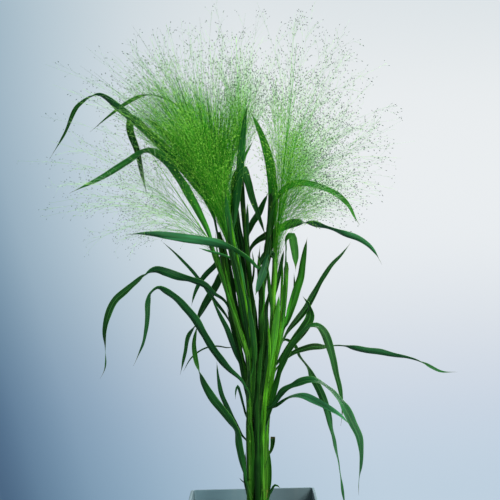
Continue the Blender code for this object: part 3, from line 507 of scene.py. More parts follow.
LEAVES = {
    # name: (culm, side of the culm, widest in mm, depth at the tip in mm, usual twist, tones, route)
    # A route point is (x, h) or (x, h, twist). The twist is 0 where a blade faces the front and 90 edge-on.
    # Tones: how fresh its green is from 0, deep, to 1, vivid; how much of its outer half is pale and bluish;
    # and its painted light and shade near its foot, in its middle and near its tip, where 1 is usual.
    "leaf_top_left_arch": ("culm_left", LEFT, 13, 40, 20, (0.05, 0, 0.9, 0.8, 0.85), [
        (-51, 396), (-60, 430), (-90, 486), (-124, 522), (-168, 561, 30), (-201, 589, 10), (-232, 607, 86),
        (-259, 592, 140), (-282, 547, 150), (-304, 511, 120)]),
    "leaf_top_left_inner": ("culm_centre", BACK, 10, 75, 30, (0.3, 0, 1.2, 1.2, 0.7), [
        (-31, 405), (-42, 460, 70), (-60, 510, 86), (-90, 564, 88), (-123, 598, 88), (-156, 607, 80),
        (-190, 594, 25), (-213, 577, 30), (-243, 552, 50)]),
    "leaf_left_fold": ("culm_rear_left", BACK, 14, 75, 20, (0.15, 0.05, 0.9, 0.6, 0.25), [
        (-33, 385), (-50, 425), (-76, 462), (-111, 505), (-157, 552), (-181, 573, 60), (-183, 560, 20),
        (-172, 523, 10), (-165, 490, 20), (-157, 454, 60)]),
    "leaf_left_long": ("culm_left_front", FRONT, 14, -75, 25, (0.6, 0.15, 1.4, 0.7, 0.7), [
        (-54, 365), (-66, 400), (-91, 451), (-108, 480), (-124, 502), (-139, 517), (-156, 523, 60),
        (-187, 507, 30), (-225, 484, 20), (-274, 460, 40)]),
    "leaf_left_level": ("culm_front", FRONT, 15, -80, 20, (0.2, 0.5, 1.5, 1.3, 0.5), [
        (17, 335), (0, 354, 50), (-21, 370, 60), (-46, 382, 40), (-73, 388, 30), (-102, 393, 5),
        (-130, 397, 10), (-160, 399, 50), (-189, 398, 60)]),
    "leaf_left_sliver": ("culm_centre", FRONT, 5, -45, 20, (0.5, 0.3, 1.5, 1.8, 1.5), [
        (-19, 343), (-31, 361), (-49, 369), (-64, 373), (-80, 378)]),
    "leaf_left_spear": ("culm_left", LEFT, 6, 55, 20, (0.15, 0.1, 1, 1.1, 1), [
        (-26, 250), (-36, 271), (-57, 300), (-81, 333), (-111, 366), (-135, 388)]),
    "leaf_left_short": ("culm_left", LEFT, 9, -20, 20, (0.15, 0.1, 0.45, 0.35, 0.7), [
        (-14, 190), (-22, 211), (-30, 234), (-37, 255), (-48, 277), (-61, 303)]),
    "leaf_left_high_arch": ("culm_left", FRONT, 13, -45, 20, (0.1, 0.1, 0.75, 0.65, 0.45), [
        (-31, 278), (-43, 299, 30), (-58, 309, 40), (-69, 321, 20), (-93, 330, 35), (-111, 335, 20),
        (-130, 342, 10), (-144, 345, 40), (-160, 337, 86), (-171, 328, 120), (-188, 314, 150),
        (-204, 301, 165), (-216, 277, 160), (-221, 249, 140), (-220, 225, 110), (-222, 193), (-228, 182)]),
    "leaf_left_low_arch": ("culm_left_front", FRONT, 13, -80, 25, (0.1, 0.05, 0.45, 0.8, 0.45), [
        (-3, 155), (-16, 178), (-35, 196), (-56, 222), (-73, 249), (-84, 268), (-100, 288), (-115, 303),
        (-130, 313, 35), (-141, 317, 70), (-150, 311, 80), (-156, 297, 50), (-157, 276, 30),
        (-159, 255, 40), (-163, 235, 50), (-171, 216, 50), (-178, 201)]),
    "leaf_left_drop_back": ("culm_rear_left", BACK, 9, 60, 15, (0.2, 0.2, 0.7, 0.95, 0.9), [
        (-22, 330), (-33, 358), (-45, 363), (-56, 351), (-69, 338), (-81, 321), (-87, 306), (-91, 291)]),
    "leaf_left_hanging": ("culm_rear_left", BACK, 12, 95, 10, (0.15, 0.1, 1, 0.8, 0.9), [
        (-15, 290), (-30, 330), (-42, 340), (-54, 321), (-66, 301), (-75, 283, 50), (-82, 265, 80),
        (-94, 247, 40), (-100, 220, 40), (-108, 187)]),
    "leaf_foot_left_twist": ("culm_left_front", LEFT, 14, -30, 20, (0.3, 0, 0.7, 0.6, 0.5), [
        (-9, 12), (-14, 51, 20), (-19, 79, 30), (-24, 103, 60), (-32, 117, 40), (-46, 136, 15),
        (-61, 155, 15), (-74, 177, 50), (-80, 193, 86), (-85, 214, 140), (-87, 234, 165), (-84, 253, 160),
        (-78, 270)]),
    "leaf_foot_left_spear": ("culm_left", LEFT, 9, 30, 30, (0.15, 0.1, 1, 0.85, 0.9), [
        (-8, 80), (-22, 107, 60), (-34, 132), (-45, 157), (-50, 180), (-53, 208)]),
    "leaf_left_wisp": ("culm_left", BACK, 3, 70, 10, (0.15, 0.1, 0.8, 0.8, 0.7), [
        (-21, 222), (-39, 229), (-56, 231), (-72, 227), (-91, 213), (-103, 193)]),
    "leaf_foot_left_hook": ("culm_left", LEFT, 6, -6, 40, (0.15, 0.1, 0.8, 0.8, 0.7), [
        (-8, 112), (-14, 141), (-19, 163), (-21.5, 171), (-24, 164), (-25, 151)]),
    "leaf_foot_stub_left": ("culm_left", LEFT, 4, 5, 20, (0.05, 0, 0.7, 0.7, 0.7), [
        (-7, 12), (-13, 25), (-19, 33)]),
    "leaf_foot_stub_right": ("culm_far_right", RIGHT, 10, 6, 5, (0.1, 0, 0.8, 0.5, 0.35), [
        (25, 55), (28, 72), (31, 84), (31.5, 95)]),
    "leaf_foot_curl_right": ("culm_far_right", RIGHT, 8, -8, 30, (0.15, 0.1, 0.8, 0.8, 0.7), [
        (22, -4), (31, 14, 80), (36, 22), (42, 18)]),
    "leaf_top_right_drape": ("culm_front", RIGHT, 11, -60, 25, (0.35, 0, 1.6, 1.1, 1.2), [
        (28, 425), (38, 452), (52, 468), (69, 475), (93, 472), (112, 466), (130, 456), (145, 441),
        (154, 424), (162, 412)]),
    "leaf_right_high_twist": ("culm_rear", BACK, 14, 85, 20, (0.15, 0.35, 0.35, 0.45, 1.4), [
        (-7, 355), (-1, 377, 20), (9, 389, 10), (19, 395, 10), (30, 400, 50), (43, 406, 40), (58, 414, 10),
        (72, 416, 40), (81, 415, 88), (94, 413, 130), (111, 408, 110), (142, 398, 150), (160, 392, 165),
        (176, 381, 160), (187, 367, 130), (195, 353)]),
    "leaf_right_spear": ("culm_far_right", RIGHT, 11, 60, 25, (0.1, 0.1, 0.35, 0.6, 0.55), [
        (42, 226), (57, 256), (70, 272), (82, 288, 30), (94, 310, 30), (107, 333, 40), (118, 350, 40),
        (134, 367, 50), (148, 386)]),
    "leaf_right_big_arch": ("culm_right", RIGHT, 15, -40, 45, (0.2, 0.2, 1.1, 0.4, 0.4), [
        (16, 95), (27, 132, 40), (34, 163, 50), (43, 195, 55), (54, 219, 60), (66, 237, 60), (78, 252, 60),
        (88, 260, 70), (97, 261, 60), (107, 252, 30), (115, 234, 20), (121, 213, 20), (127, 186, 30),
        (132, 165, 40), (135, 144, 50), (135, 126), (133, 111)]),
    "leaf_right_hooked": ("culm_right", RIGHT, 15, -8, 20, (0.15, 0, 0.6, 0.5, 0.85), [
        (27, 190), (52, 223), (67, 243), (79, 259, 10), (87, 274, 10), (85, 291, 60), (76, 306)]),
    "leaf_right_longest": ("culm_far_right", RIGHT, 11, 45, 20, (0.15, 0.25, 0.45, 0.65, 0.8), [
        (32, 186), (52, 213), (65, 222), (76, 226), (91, 230, 10), (107, 229, 50), (123, 231, 84),
        (134, 231, 100), (151, 228, 140), (171, 224, 155), (190, 222, 150), (208, 218, 150),
        (228, 214, 130), (247, 209, 110), (266, 201), (283, 193), (308, 192)]),
    "leaf_right_plunge": ("culm_far_right", BACK, 12, 115, 20, (0.1, 0.3, 0.5, 0.65, 0.9), [
        (42, 222), (50, 240), (56, 238, 20), (65, 229, 40), (71, 214, 70), (79, 204, 70), (90, 186, 30),
        (100, 168, 10), (109, 147, 10), (115, 127, 20), (121, 99, 60), (127, 70, 70), (132, 42, 70),
        (138, 1), (141, -18)]),
    "leaf_right_low_arch": ("culm_right", FRONT, 16, -115, 25, (0.25, 0.35, 0.4, 0.85, 0.3), [
        (20, 130), (34, 148, 30), (44, 162, 30), (60, 170, 70), (75, 177, 40), (88, 179, 50),
        (102, 175, 78), (117, 164, 78), (129, 151, 70), (142, 133, 20), (151, 114, 25), (160, 93, 40),
        (163, 73, 45), (163, 51, 50), (160, 22, 70), (160, 7)]),
    "leaf_right_low_pale": ("culm_far_right", FRONT, 12, -60, 15, (0.2, 0.75, 1, 1.3, 1.4), [
        (28, 128), (40, 147, 60), (56, 155, 75), (75, 156, 50), (94, 149, 20), (113, 139, 20),
        (132, 127, 30), (147, 113)]),
    "leaf_right_folded": ("culm_far_right", FRONT, 13, -22, 10, (0.75, 0, 1.6, 1.2, 0.6), [
        (43, 232), (45, 262, 40), (48, 300, 55), (50, 340, 72), (51.5, 375, 86), (54, 392, 70),
        (59, 396, 20), (62.5, 384, 0), (65, 366, 5), (65.5, 342, 20)]),
    "leaf_right_upright": ("culm_far_right", RIGHT, 13, -25, 15, (0.45, 0, 1, 0.8, 0.4), [
        (46, 245), (52, 264), (60, 291), (67, 315), (73, 334), (76, 354), (79, 373), (83, 394)]),
    "leaf_right_narrow": ("culm_far_right", BACK, 6, 40, 30, (0.15, 0.1, 0.8, 0.7, 0.3), [
        (48, 262), (58, 282), (64, 303), (64, 322), (63, 340)]),
    "leaf_right_inner": ("culm_right", BACK, 8, 10, 20, (0.15, 0.1, 1, 1, 0.6), [
        (32, 296), (40, 331), (44, 354), (48, 376)]),
    "leaf_centre_tall": ("culm_centre", FRONT, 13, -30, 15, (0.15, 0, 0.95, 1.1, 1.6), [
        (-31, 395), (-25, 440), (-20, 480), (-16, 520), (-13, 550), (-10, 577), (-5, 597)]),
    "leaf_centre_lean": ("culm_front", BACK, 16, 20, 15, (0.3, 0, 1, 1.3, 1.25), [
        (26, 380), (31, 420), (32, 455), (30, 482), (25, 513), (17, 540), (8, 562), (-3, 584)]),
    "leaf_centre_small": ("culm_rear", BACK, 6, 45, 20, (0.15, 0.1, 0.8, 0.8, 0.7), [
        (-16, 475), (-13, 507), (-7, 523), (1, 537)]),
    "leaf_centre_drop": ("culm_rear_left", RIGHT, 13, 6, 15, (0.15, 0.1, 0.8, 0.8, 0.7), [
        (-35, 395), (-28, 457, 50), (-22, 490, 40), (-14, 497, 30), (-7, 480, 0), (0, 454, 0), (9, 429, 20),
        (16, 409), (21, 394)]),
    "leaf_centre_slant": ("culm_rear", RIGHT, 12, 50, 10, (0.15, 0.1, 0.8, 0.8, 0.7), [
        (-8, 381), (-4, 402), (1, 415), (10, 429), (17, 445), (24, 460)]),
    "leaf_centre_bud": ("culm_rear", FRONT, 6, 5, 10, (0.15, 0.1, 0.8, 0.8, 0.7), [
        (-8, 381), (-7, 412), (-7, 445)]),
    "leaf_centre_hanging": ("culm_right", LEFT, 13, -38, 10, (0.1, 0.4, 0.3, 0.45, 0.6), [
        (35, 352), (30, 371, 50), (25, 366, 20), (19, 348, 0), (12, 328, 20), (5, 307, 50)]),
    "leaf_centre_back": ("culm_rear", RIGHT, 9, 20, 20, (0.1, 0, 0.6, 0.3, 1), [
        (7, 222), (14, 258), (21, 288), (27, 315)]),
    "leaf_centre_broad": ("culm_rear_left", BACK, 16, 52, 10, (0.05, 0, 0.5, 0.6, 0.8), [
        (0, 190), (-3, 240), (-9, 300), (-15, 350), (-21, 395), (-25, 435), (-25, 470), (-21, 505)]),
    "leaf_centre_second": ("culm_centre", FRONT, 15, -36, 10, (0.12, 0.05, 1.8, 1.3, 1.4), [
        (-2, 215), (-8, 262), (-15, 310), (-24, 360), (-33, 405), (-38, 440), (-41, 470)]),
    "leaf_left_broad": ("culm_left", BACK, 15, 28, 10, (0.15, 0, 1.2, 0.55, 0.6), [
        (-13, 192), (-18, 225), (-23, 262), (-29, 300), (-34, 335), (-41, 372), (-48, 405)]),
    "leaf_right_bright": ("culm_right", FRONT, 12, -22, 10, (1.0, 0, 0.95, 0.9, 0.9), [
        (26, 190), (30, 222), (34, 252), (38, 282), (41, 310)]),
    "leaf_centre_bright": ("culm_left_front", FRONT, 9, -34, 25, (0.5, 0, 0.7, 0.6, 0.5), [
        (1, 176), (3, 215), (1, 250), (-4, 285), (-9, 315)]),
}
BROAD_AT = {
    # the leaves that are broadest elsewhere than usual, and the share of their length where they are
    "leaf_right_folded": 0.76, "leaf_right_hooked": 0.62, "leaf_centre_hanging": 0.5, "leaf_left_fold": 0.42,
    "leaf_foot_stub_right": 1.0,
}


def blade_width(share, broad_at):
    """A blade's width along it, as a share of its widest. One that is broadest at its end is torn."""
    fall = np.clip((share - broad_at) / (LEAF_PAST_END - broad_at), 0, 1) ** LEAF_TAPER_POWER
    base = between(LEAF_BASE_SHARE, 1, ease(share, 0, broad_at))
    end = LEAF_TORN if broad_at == 1 else LEAF_POINTED
    return base * (1 - (1 - LEAF_TIP_SHARE) * fall) * (1 - end * ease(share, *LEAF_END))


def blade_line(leaf, count):
    """Rows of x, y, z and twist along a blade from its culm to its tip, and the culm's place there."""
    culm, side, widest, tip_depth, twist, route = leaf
    stem = culm_line(culm, CULM_FINE)
    nearest = int(np.argmin(abs(stem[:, 2] - place(*route[0][:2], 0)[2])))
    turn = math.radians(side)
    stand_off = culm_radius(nearest / CULM_FINE) + LEAF_STAND_OFF
    base = stem[nearest] + np.array([math.cos(turn), math.sin(turn), 0]) * stand_off
    run = run_along([point[:2] for point in route])
    rows = [[*base, 0 if side in (FRONT, BACK) else 90]]
    for point, way in zip(route[1:], run[1:]):
        depth = between(base[1] / MM, tip_depth, (way / run[-1]) ** LEAF_DEPTH_POWER)
        rows.append([*place(*point[:2], depth), point[2] if len(point) > 2 else twist])
    return along(rows, count), stem, nearest


def leaf_surface(leaf, broad_at, random):
    """A leaf's middle surface as rows of points across it, with their run from the collar and its length."""
    culm, side, widest, tip_depth, twist, route = leaf
    length = run_along([point[:2] for point in route])[-1] * MM
    count = max(int(length / LEAF_STEP), LEAF_FEWEST)
    line, stem, nearest = blade_line(leaf, count)
    facing = 1 if side in (LEFT, FRONT) else -1
    ahead = unit(np.gradient(line[:, :3], axis=0))
    flat = unit(np.cross(ahead, (0, 1, 0)))
    out = np.cross(flat, ahead)
    cos, sin = np.cos(np.radians(line[:, 3:])), np.sin(np.radians(line[:, 3:]))
    wide, up = flat * cos + out * sin, out * cos - flat * sin
    share = np.linspace(0, 1, count + 1)[:, None]
    run = share * length
    half = blade_width(share, broad_at) * widest * MM / 2
    fold = between(BASE_FOLD, BLADE_FOLD, ease(run, 0, BASE_FOLD_LENGTH))
    fold = fold + (TIP_FOLD - BLADE_FOLD) * ease(share, TIP_FOLD_FROM, 1)
    opening = between(facing, np.clip(up[:, 2:] * UP_KEENNESS, -1, 1), ease(run, *BLADE_TURNS_UP))
    u = np.linspace(-1, 1, LEAF_ACROSS)
    ripple = sum(height * np.sin(run / wave + random.uniform(0, RIPPLE_STARTS, 1) + apart * np.sign(u))
                 for height, wave, apart in RIPPLES)
    ripple = RIPPLE_HEIGHT * ripple * u ** 2 * half / half.max() * ease(run, *RIPPLE_START)
    lift = half * abs(u) ** FOLD_ROUND * np.sin(fold * opening) + ripple
    out = (half * np.cos(fold) * u)[..., None] * wide[:, None]
    blade = line[:, None, :3] + out + lift[..., None] * up[:, None]

    stem_run = run_along(stem)
    stem_run = stem_run - stem_run[nearest]
    sheath_length = min(SHEATH_LENGTH * random.uniform(*SHEATH_LENGTHS), -stem_run[0])
    below = max(int(sheath_length / LEAF_STEP), 1)
    run = np.concatenate([np.linspace(-sheath_length, 0, below + 1)[:-1], run[:, 0]])
    centre = np.column_stack([np.interp(np.minimum(run, COLLAR_BLEND), stem_run, axis) for axis in stem.T])
    radius = culm_radius(np.clip(nearest / CULM_FINE + run / CULM_USUAL_LENGTH, 0, 1))
    reach = (radius + between(SHEATH_CLOSE, SHEATH_OFFSET, ease(run, -sheath_length, 0)))[:, None]
    wrap = between(SHEATH_WRAP, COLLAR_WRAP, ease(run, *COLLAR_OPENS))[:, None]
    angle = math.radians(side) - facing * u * wrap
    rolled = centre[:, None] + np.stack([reach * np.cos(angle), reach * np.sin(angle), 0 * angle], axis=-1)
    blade = np.concatenate([np.repeat(blade[:1], below, axis=0), blade])
    return between(rolled, blade, ease(run, COLLAR_FROM, COLLAR_BLEND)[:, None, None]), run, length


def leaf_finish():
    """Green in bands and streaks under painted light and shade, bluish below and where weathered, with paler
    veins, midrib and margins.
    """
    made = Finish("veined grass blade", 0.45, 0.09)
    across, run, sheath, open_air = (made.named(key) for key in ("across", "run", "sheath", "open_air"))
    veins = made.sums("SINE", made.times(across, LEAF_VEINS))
    side = made.sums("ABSOLUTE", across)
    streaks = made.flow(2.6, 5.0, across=2.2, run=6.0, fresh=40.0)
    bands = made.flow(2.0, 4.0, across=1.0, run=0.9, fresh=60.0)
    # painted light and shade along the blade, broken by random bands
    shade = made.times(made.named("painted_light"), made.stretch(bands, 0.32, 0.68, *BAND_LIGHT))
    body = made.ramp(made.named("fresh"), [(0, LEAF_DARK), (0.6, LEAF_FRESH), (1, LEAF_VIVID)])
    body = made.layer(body, LEAF_BLUE, made.stretch(streaks, 0.35, 0.75), open_air, 0.4)
    body = made.layer(body, LEAF_PALE, made.named("pale"))
    shade = made.node("CombineXYZ", {0: shade, 1: shade, 2: shade}).outputs[0]
    body = made.blend(1.0, body, shade, "MULTIPLY")
    body = made.layer(body, LEAF_FRESH, made.stretch(veins, 0.2, 1.0), 0.16)
    body = made.layer(body, LEAF_RIB, made.stretch(side, 0.10, 0.02), 0.75)
    body = made.layer(body, LEAF_MARGIN, made.stretch(side, 0.88, 0.99), 0.6)
    body = made.layer(body, LEAF_BLUE, made.named("under"), open_air, 0.3)
    body = made.layer(body, LEAF_DRY, made.named("tip"))
    # the sheaths are striped, and as light or dark as their culm's painted light and shade
    stripes = made.stretch(made.flow(1.6, 3.0, across=4.5, run=0.5, sheath=30.0), 0.40, 0.60, 0.1, 1.0)
    rolled = made.blend(made.times(stripes, sheath), SHEATH_DEEP, SHEATH_LIGHT)
    body = made.blend(made.stretch(run, 0.25, -0.1), body, rolled)
    made.raise_by(veins, 0.10 * MM, 0.45)
    return made.paint(body, Roughness=made.stretch(streaks, 0.3, 0.7, 0.34, 0.52))


def leaf_shape(leaf, tones, broad_at, open_air, random):
    """Points, triangles and surface values of one leaf. leaf is its row of the table without its tones."""
    fresh, pale, *lights = tones
    sheet, run, length = leaf_surface(leaf, broad_at, random)
    run = run[:, None]
    u = np.linspace(-1, 1, LEAF_ACROSS)
    share = np.clip(run / length, 0, 1)
    keel = np.exp(-((u / LEAF_KEEL_WIDTH) ** 2)) * (1 - ease(share, *LEAF_KEEL_ENDS))
    half = between(LEAF_EDGE_THICK, LEAF_THICK, keel)[..., None] / 2
    half = half * unit(np.cross(np.gradient(sheet, axis=1), np.gradient(sheet, axis=0)))
    points = np.concatenate([sheet + half, (sheet - half)[:, ::-1]], axis=1)
    faces_front = leaf[1] in (LEFT, FRONT)
    # painted_light: how much lighter or darker the blade is painted along it, a painted light and shade
    values = dict(
        across=np.concatenate([u, u[::-1]]), run=run / LEAF_GRAIN, fresh=fresh, open_air=open_air,
        pale=pale * ease(share, *LEAF_PALE_FROM), painted_light=np.interp(share, PAINTED_LIGHT_AT, (1, *lights)),
        sheath=culm_tone(leaf[0], sheet[:, LEAF_ACROSS // 2, 2:]), tip=DRY_TIP * ease(share, *DRY_TIP_FROM),
        under=np.repeat([1 - faces_front, faces_front], LEAF_ACROSS))
    values = {key: np.broadcast_to(value, points.shape[:2]).ravel() for key, value in values.items()}
    return points.reshape(-1, 3), grid_faces(len(sheet), 2 * LEAF_ACROSS), values


def make_leaf(name, finish, random):
    *leaf, (fresh, *tones), route = LEAVES[name]
    tones = (fresh + random.uniform(0, LEAF_FRESHER), *tones)
    points, faces, values = leaf_shape((*leaf, route), tones, BROAD_AT.get(name, LEAF_BROAD_AT), 1, random)
    made = mesh_of(name + "_blade", points, faces.tolist(), [finish], **values)
    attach(made, "root")
    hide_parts(name)


leaf_green = leaf_finish()
leaf_chance = np.random.default_rng(31)
for leaf_name in LEAVES:
    make_leaf(leaf_name, leaf_green, leaf_chance)


# The young shoots: narrow grass blades that stand close among the culms and fill the clump. They are one
# growth with the leaves, too slight to have solids of their own, and grow from the same sheaths.
SHOOTS = [
    # (how fresh its green is, culm, side, widest, depth at the tip and usual twist as for the leaves, route)
    (0.6, "culm_left_front", FRONT, 6, -17, 30, [
        (-5, 150), (-5, 190), (-3, 225), (-2, 262), (-4, 300), (-8, 340)]),
    (0.65, "culm_left", FRONT, 5, -14, 30, [
        (-11, 190), (-19, 232), (-25, 270), (-33, 315), (-38, 360), (-44, 400)]),
    (0.1, "culm_left", LEFT, 7, -4, 20, [
        (-6, 130), (-10, 165), (-14, 190), (-21, 225), (-31, 262), (-38, 290)]),
    (0.0, "culm_centre", FRONT, 6, -20, 20, [
        (3, 150), (3, 190), (1, 230), (-7, 285), (-14, 330), (-19, 372)]),
    (1.0, "culm_centre", FRONT, 5, -46, 30, [
        (-2, 205), (-4, 240), (-10, 292), (-20, 350), (-29, 400), (-33, 440)]),
    (0.6, "culm_centre", FRONT, 6, -52, 30, [
        (-3, 225), (-11, 268), (-22, 320), (-30, 365), (-40, 410), (-45, 450)]),
    (0.05, "culm_centre", FRONT, 7, -50, 25, [
        (-1, 190), (-4, 225), (-13, 290), (-23, 340), (-33, 385), (-37, 425)]),
    (0.1, "culm_centre", RIGHT, 6, -12, 25, [(6, 130), (9, 175), (9, 225), (4, 285), (-2, 330), (-3, 368)]),
    (0.2, "culm_front", FRONT, 6, -26, 30, [(10, 60), (8, 110), (9, 165), (13, 215), (17, 255), (19, 290)]),
    (0.05, "culm_front", LEFT, 7, -20, 20, [(6, 90), (4, 140), (5, 190), (5, 232), (3, 270), (5, 305)]),
    (1.0, "culm_right", FRONT, 7, -24, 25, [
        (15, 60), (17, 110), (20, 160), (25, 205), (26, 240), (24, 275)]),
    (0.9, "culm_right", RIGHT, 6, -18, 30, [
        (18, 90), (21, 130), (27, 178), (33, 225), (37, 262), (39, 300)]),
    (1.0, "culm_far_right", FRONT, 6, -16, 30, [
        (22, 90), (24, 130), (30, 180), (36, 215), (42, 250), (44, 285)]),
    (0.3, "culm_rear", FRONT, 7, 6, 20, [(4, 235), (2, 272), (-1, 305), (-4, 345), (-9, 385), (-12, 425)]),
    (0.1, "culm_rear", RIGHT, 8, 12, 15, [(9, 200), (13, 240), (15, 280), (12, 320), (10, 350), (12, 382)]),
    (0.1, "culm_front", RIGHT, 8, 0, 15, [
        (15, 290), (19, 325), (22, 350), (27, 372), (30, 395), (31, 420)]),
    (0.5, "culm_front", FRONT, 5, -26, 30, [(15, 270), (17, 298), (16, 325), (12, 350), (8, 368)]),
    (0.7, "culm_rear_left", LEFT, 6, 6, 25, [(-16, 290), (-24, 330), (-29, 362), (-34, 398), (-40, 432)]),
    (0.15, "culm_rear_left", FRONT, 8, 4, 15, [(-14, 280), (-20, 318), (-26, 355), (-33, 392), (-36, 425)]),
    (0.0, "culm_rear", LEFT, 8, 22, 15, [(-5, 330), (-12, 372), (-20, 410), (-25, 450), (-29, 485)]),
    (0.6, "culm_left_front", FRONT, 5, -24, 30, [
        (-26, 272), (-36, 305), (-46, 342), (-52, 372), (-55, 402)]),
    (0.9, "culm_far_right", LEFT, 5, -8, 30, [(42, 262), (43, 292), (45, 330), (46, 360)]),
    (0.0, "culm_front", RIGHT, 8, -12, 15, [
        (14, 120), (17, 165), (19, 205), (20, 245), (22, 285), (26, 322)]),
    (0.05, "culm_right", LEFT, 7, -6, 15, [(19, 150), (22, 195), (24, 235), (23, 268), (19, 300)]),
    (0.0, "culm_front", RIGHT, 9, -22, 10, [(16, 325), (21, 352), (25, 375), (28, 398)]),
    (0.35, "culm_right", LEFT, 7, -30, 20, [(31, 262), (28, 295), (25, 328), (23, 356)]),
    (0.2, "culm_centre", RIGHT, 4, 0, 20, [(-3, 300), (1, 328), (3, 350), (0, 374)]),
    (0.0, "culm_rear_left", LEFT, 13, 40, 15, [
        (-37, 400), (-50, 440), (-68, 476), (-93, 511), (-122, 543), (-150, 566), (-168, 578)]),
    (0.1, "culm_left", LEFT, 7, -4, 20, [(-8, -4), (-10, 20), (-11, 45), (-10, 72)]),
    (0.4, "culm_far_right", RIGHT, 7, -2, 20, [(25, -4), (27, 22), (27, 48), (25, 78)]),
    (0.4, "culm_left_front", RIGHT, 6, -20, 20, [(0, -10), (2, 20), (2, 55), (1, 90), (-2, 125)]),
    (0.35, "culm_centre", FRONT, 4, -18, 20, [(8, -12), (8, 15), (8.5, 40), (7, 72)]),
    (0.5, "culm_front", RIGHT, 5, -22, 20, [(13, -10), (14, 25), (15, 65), (14, 105), (16, 150)]),
    (0.0, "culm_front", LEFT, 6, -20, 20, [(7, 45), (5, 90), (6, 125), (8, 165)]),
    (0.0, "culm_front", RIGHT, 5, -26, 20, [(14, 130), (17, 170), (22, 210), (25, 245)]),
    (0.25, "culm_left_front", RIGHT, 5, -30, 30, [(1, 120), (2, 165), (4, 205), (3, 240)]),
    (0.0, "culm_left_front", LEFT, 4, -24, 30, [(-6, 110), (-6, 150), (-4, 190), (-6, 225)]),
    (0.0, "culm_right", LEFT, 15, -22, 15, [(35, 348), (31, 364), (24, 369), (17, 362), (11, 350)]),
    (0.55, "culm_rear_left", FRONT, 4, -2, 30, [(-18, 300), (-25, 340), (-30, 378), (-36, 420)]),
    (0.8, "culm_left_front", RIGHT, 4, -26, 30, [(-12, 235), (-22, 275), (-34, 318), (-42, 356)]),
    (0.0, "culm_centre", LEFT, 5, -22, 20, [(1, 210), (-8, 262), (-17, 312), (-26, 352)]),
]
# shoots are none pale and painted in shade along their length, in the heart of the clump
SHOOT_TONES = (0, 0.8, 0.75, 0.8)
SHOOT_OPEN_AIR = 0.15


def joined(shapes):
    """The points and faces of several shapes as one. A shape starts with its own points and faces."""
    starts = np.cumsum([0] + [len(shape[0]) for shape in shapes])
    faces = [shape[1] + start for shape, start in zip(shapes, starts)]
    return np.concatenate([shape[0] for shape in shapes]), np.concatenate(faces).tolist()


def make_shoots(finish, random):
    shapes = [leaf_shape(leaf, (fresh, *SHOOT_TONES), LEAF_BROAD_AT, SHOOT_OPEN_AIR, random)
              for fresh, *leaf in SHOOTS]
    values = {key: np.concatenate([shape[2][key] for shape in shapes]) for key in shapes[0][2]}
    made = mesh_of("young_shoots", *joined(shapes), [finish], **values)
    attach(made, "root")


make_shoots(leaf_green, np.random.default_rng(37))


# The panicles: open flower heads. From the top of a culm a stiff axis sends out long hair-fine branches,
# which fork into shorter ones and end in single spikelets on their own stalks. Young branches are vivid
# green, and they pale as they open. Each head is one growth on its culm.
AXIS_RADIUS, AXIS_TIP_RADIUS, NECK_GAP = 1.15 * MM, 0.45 * MM, 0.8 * MM
AXIS_LEAN_SHARE, NECK_BACK = 0.25, 12
BRANCH_LOWEST, BRANCH_SPREAD, BRANCH_BEND, BRANCH_RISE = 0.06, 0.55, 0.45, 0.7
EVEN_STEP, OTHER_EVEN_STEP = 0.618, 0.755
BRANCH_STEPS, TWIG_STEPS, STALK_STEPS = 6, 3, 2
BRANCH_RADIUS, TWIG_RADIUS, STALK_RADIUS = 0.22 * MM, 0.13 * MM, 0.10 * MM
FINE_RISE, FINE_BEND, FINE_FOOT = (0.35, 0.96), (0.35, 0.6), 0.32
BOOT_SHARE, BOOT_STAND_OFF = 0.55, (0.3 * MM, 2.2 * MM)
TWIG_ANGLES, TWIG_LAST = (14, 42), 0.93
STALK_ANGLES, STALK_LENGTHS = (18, 60), (9 * MM, 34 * MM)
FORK_BEND, FORK_AHEAD, FORK_SHORTEST = 0.45, 0.02, 0.35
HAIR_SIDES, HAIR_TIP_SHARE, HAIR_ACROSS = 3, 0.42, (0.36, 0.80, -0.48)
SPIKELET_LENGTH, SPIKELET_WIDTH, SPIKELET_SIZES = 3.0 * MM, 1.2 * MM, (0.7, 1.15)
SPIKELET_MIDDLE, SPIKELET_SUNK = 0.4, 0.1 * MM
AGES = (0.7, 1.5)
HAIR_VIVID, HAIR_GREEN, HAIR_PALE = (0.050, 0.45, 0.006, 1), (0.17, 0.56, 0.11, 1), (0.42, 0.66, 0.41, 1)
# painted shade and painted light for single hairs, and the strength of the hairs' painted glow
HAIR_SHADE, HAIR_LIGHT, HAIR_PAINTED_GLOW = (0.003, 0.050, 0.003, 1), (0.40, 0.92, 0.10, 1), 0.18
SPIKELET_GREEN, SPIKELET_PURPLE = (0.016, 0.090, 0.034, 1), (0.014, 0.048, 0.034, 1)
SPIKELET_YOUNG = (0.010, 0.110, 0.005, 1)


def head_of(culm, **own):
    """A head at the top of its culm, usual but for what is its own."""
    neck = np.array([*CULMS[culm][3][-1], CULMS[culm][2]])
    usual = dict(longer=0.0, stout=0.42, dullest=0.0, forked=(0.16, 0.25), seeds=1)
    return SimpleNamespace(culm=culm, neck=neck, **{**usual, **own})
